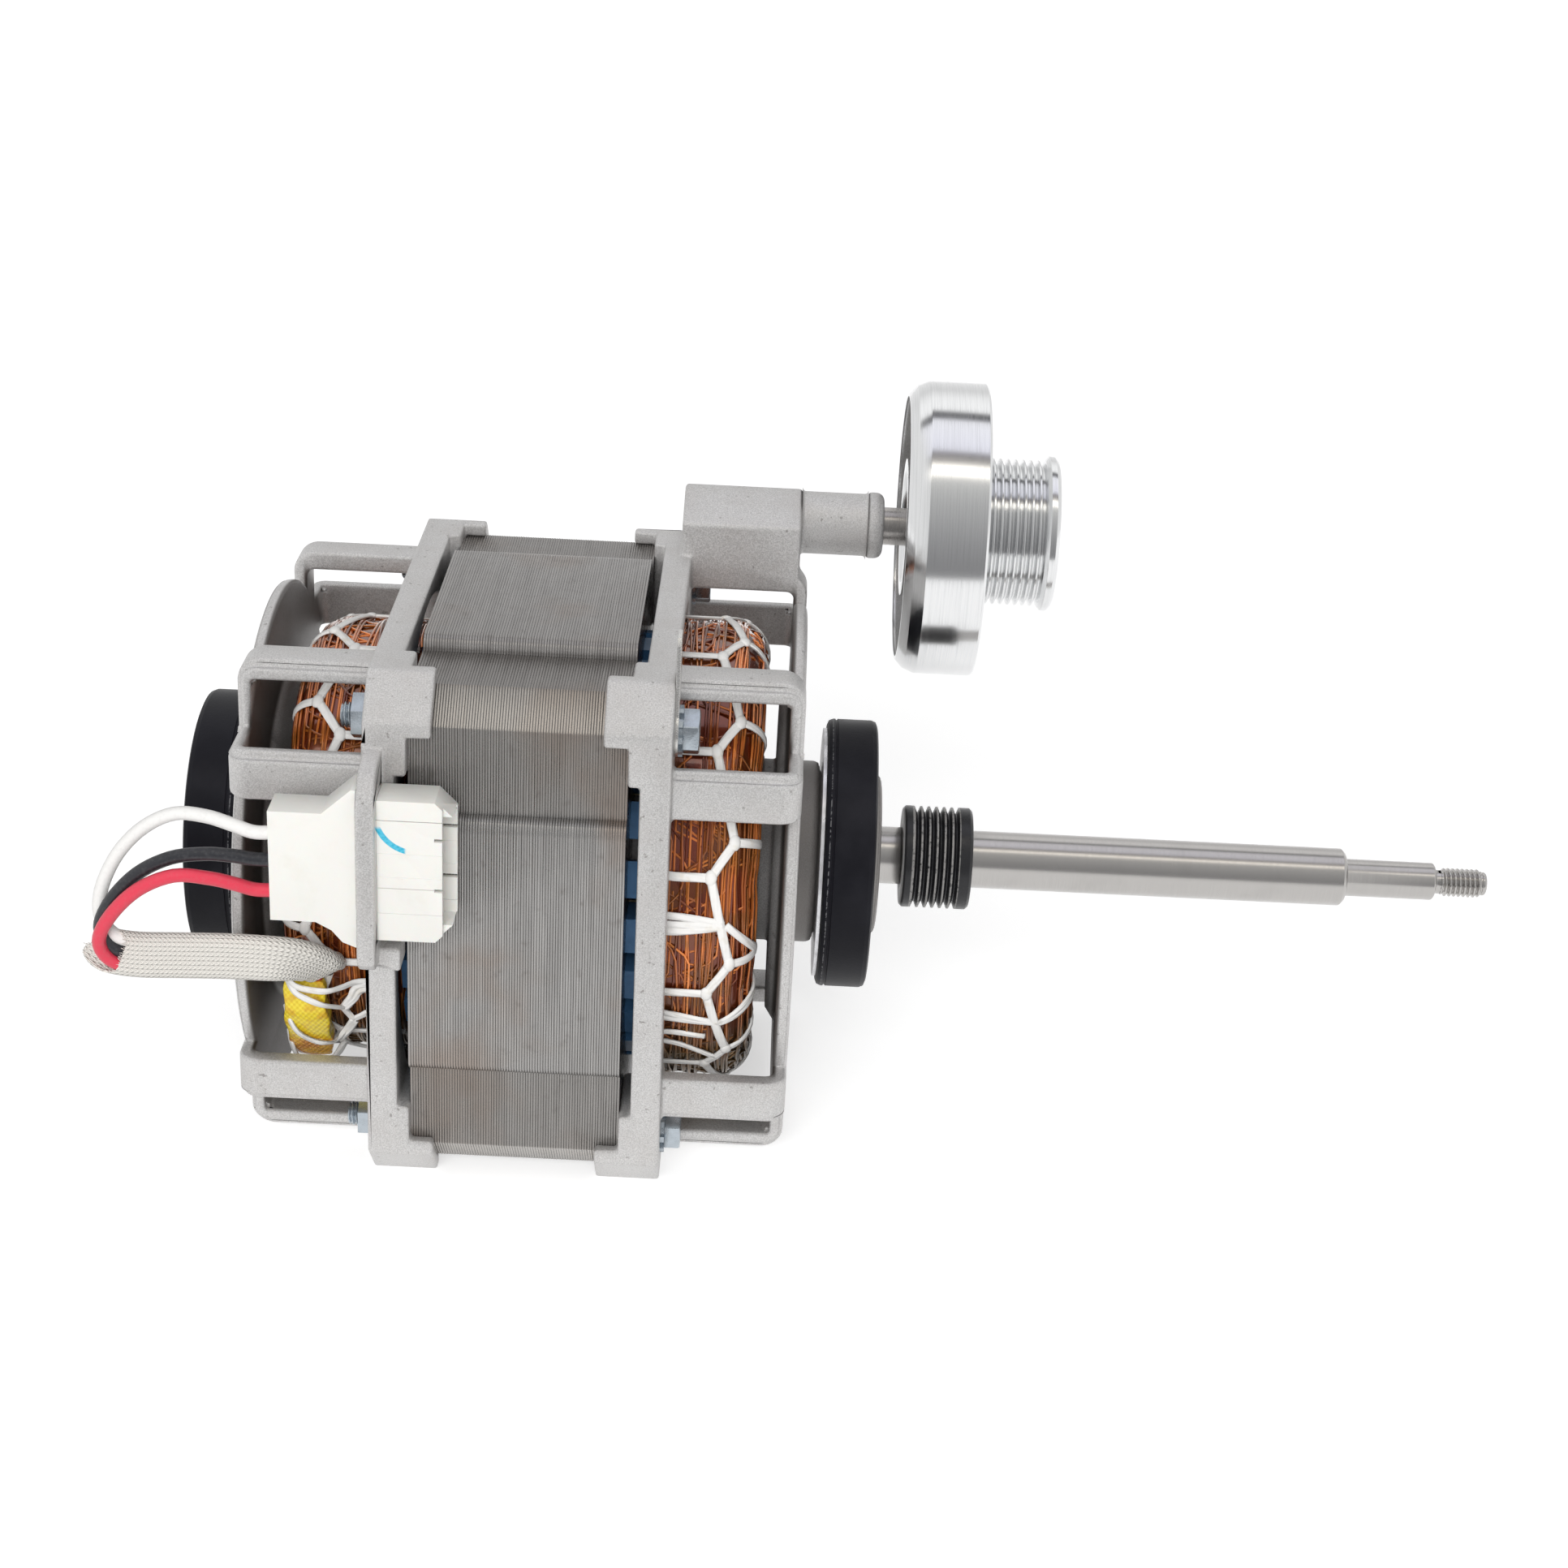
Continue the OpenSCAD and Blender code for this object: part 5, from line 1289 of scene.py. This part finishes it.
def rubber_finish(name, lip):
    """Moulded rubber: satin, dusty, with a fine flash line at the lip."""
    finish = Finish(name, (0.009, 0.009, 0.012), 0.42, Specular_IOR_Level=0.13)
    dust = finish.noise(1.4, 3, 0.65)
    cloud = finish.noise(0.08, 3)
    line = (finish.axis(0) - lip).size().above(0.16, 0.05) * dust.above(0.42, 0.55)
    skin = finish.coats(
        finish.blend(cloud.above(0.4, 0.7), (0.008, 0.008, 0.011), (0.014, 0.014, 0.018)),
        (dust.above(0.72, 0.82) * 0.4, (0.13, 0.12, 0.12)),
        (line * 0.7, (0.22, 0.22, 0.23)),
    )
    return finish.dress(skin, dust, 0.03, rough=cloud * 0.2 + 0.32)


def plain_finish(name, colour, rough, metal=0.0, grain=1.0):
    """An even skin with a little mottling and grain."""
    finish = Finish(name, colour, rough, metal)
    spots = finish.noise(grain, 3)
    dull = [c * 0.72 for c in colour]
    skin = finish.blend(spots.above(0.4, 0.75) * 0.6, colour, dull)
    return finish.dress(skin, spots, 0.03, rough=spots * 0.2 + (rough - 0.1))


wear(rubber_finish("front rubber", -4.1), "front_ring")
wear(rubber_finish("rear rubber", -124.4), "rear_ring")
wear(plain_finish("ring plate", (0.80, 0.80, 0.82), 0.3, 0.6, 0.5), "front_ring_plate",
     "rear_ring_plate")
bearings = [f"{end}_bearing" for end in ("rear", "front", "wheel")]
races = [f"{bearing}_{race}" for bearing in bearings for race in ("outer", "inner")]
balls = [f"{bearing}_balls" for bearing in bearings]
wear(ground_finish("bearing steel", (0.68, 0.69, 0.71), 0.18), *races, "wheel_spacer")
wear(plain_finish("bearing balls", (0.75, 0.76, 0.78), 0.14, 1.0, 2), *balls)
wear(plain_finish("spring steel", (0.45, 0.46, 0.48), 0.32, 0.9), "wave_washer", "wheel_clip")
wear(ground_finish("axle steel", (0.46, 0.44, 0.425), 0.28), "wheel_axle")
wear(plain_finish("rotor iron", (0.30, 0.29, 0.28), 0.4, 0.6), "rotor_core")
wear(plain_finish("rotor cage", (0.58, 0.58, 0.585), 0.42, 0.5), "rotor_cage")
wear(plain_finish("blue liner film", (0.075, 0.20, 0.40), 0.35, 0.0, 0.5), "slot_liners")
wear(plain_finish("wedge strip", (0.72, 0.65, 0.46), 0.6, 0.0, 0.7), "slot_wedges")
wear(plain_finish("slot copper", (0.34, 0.12, 0.035), 0.35, 0.3), "winding_core")
wear(plain_finish("stamped brass", (0.70, 0.55, 0.28), 0.3, 0.9), "connector_terminals")

# %% [markdown]
# The stage is a plain white table in front of a white wall, lit softly from all round and
# from above. The camera sees both as pure white. Bright metal needs something to mirror, so
# in reflections the room in front of the table is grey, with a lamp's soft box overhead.

# %% Table
TABLE_FRONT = 0.272
TABLE_BACK = 3.6
TABLE_HALF = 3.0
GLOW = (0.55, 0.55, 0.55)
bpy.ops.mesh.primitive_plane_add(size=1)
table = bpy.context.object
table.scale = (2 * TABLE_HALF, TABLE_FRONT + TABLE_BACK, 1)
table.location = (0, (TABLE_BACK - TABLE_FRONT) / 2, cad_box[0].z)
bpy.ops.object.transform_apply(location=True, scale=True)
table.name = "table"
white = Finish("white table", (0.80, 0.80, 0.80), 0.9, Emission_Strength=1.0)
seen, mirrored, through = white.rays()
visible = seen.larger(mirrored).larger(through)
white.set("Emission Color", white.blend(visible, (0, 0, 0), GLOW))
table.data.materials.append(white.material)


# %% World
class Sky(Finish):
    """The world's shader, written with the same sums as a finish."""

    def __init__(self, name):
        self.begin(bpy.data.worlds.new(name), "Background")


FRONT_LIGHT = (0.62, 0.62, 0.62)
BACK_LIGHT = (0.26, 0.26, 0.26)
SIDE_WALL = (0.88, 0.88, 0.88)
sky = Sky("studio")
bpy.context.scene.world = sky.material
way = sky.add("ShaderNodeTexCoord", {}, out=0)
side = sky.axis(0, way).size()
front = sky.axis(1, way) * -1.0
up = sky.axis(2, way)
lift = up.direction(front) * (180 / math.pi)
room = [
    (-180, (0.9, 0.9, 0.9)), (-90, (0.55, 0.54, 0.53)), (-18, (0.25, 0.25, 0.255)),
    (8, (0.34, 0.34, 0.345)), (35, (0.48, 0.48, 0.48)), (58, (0.64, 0.64, 0.63)),
    (61, (2.4, 2.3, 2.1)), (67, (2.2, 2.1, 1.95)), (70, (0.36, 0.34, 0.32)),
    (79, (0.16, 0.15, 0.16)), (81, (0.96, 0.96, 1.06)), (111, (1.05, 1.05, 1.1)),
    (113, (0.05, 0.05, 0.055)), (120, (0.05, 0.05, 0.055)), (123, (1.15, 1.15, 1.15)),
    (140, (1.05, 1.05, 1.05)), (156, (0.75, 0.75, 0.75)), (180, (0.9, 0.9, 0.9))]
ramp = sky.nodes.new("ShaderNodeValToRGB")
stops = ramp.color_ramp.elements
for number, (degrees, colour) in enumerate(room):
    place = (degrees + 180) / 360
    stop = stops[number] if number < 2 else stops.new(place)
    stop.position = place
    stop.color = (*colour, 1)
sky.feed(ramp.inputs[0], lift * (1 / 360) + 0.5)
seen, mirror, through = sky.rays()
ahead = front * 0.95 + up * 0.35
light = sky.blend(ahead.above(-0.3, 0.9), BACK_LIGHT, FRONT_LIGHT)
plain = sky.blend(seen.larger(through), light, (1, 1, 1))
mirrored = sky.blend(side.above(0.42, 0.6), Out(sky, ramp.outputs[0]), SIDE_WALL)
sky.set("Color", sky.blend(mirror, plain, mirrored))
sky.set("Strength", 1.0)

# %% Sun
sun = bpy.data.lights.new("sun", "SUN")
sun.energy = 2.0
sun.angle = math.radians(35)
lamp = bpy.data.objects.new("sun", sun)
bpy.context.scene.collection.objects.link(lamp)
lamp.rotation_euler = (math.radians(65), math.radians(-12), 0)
lamp.visible_glossy = False
bpy.context.scene.view_settings.view_transform = "Standard"
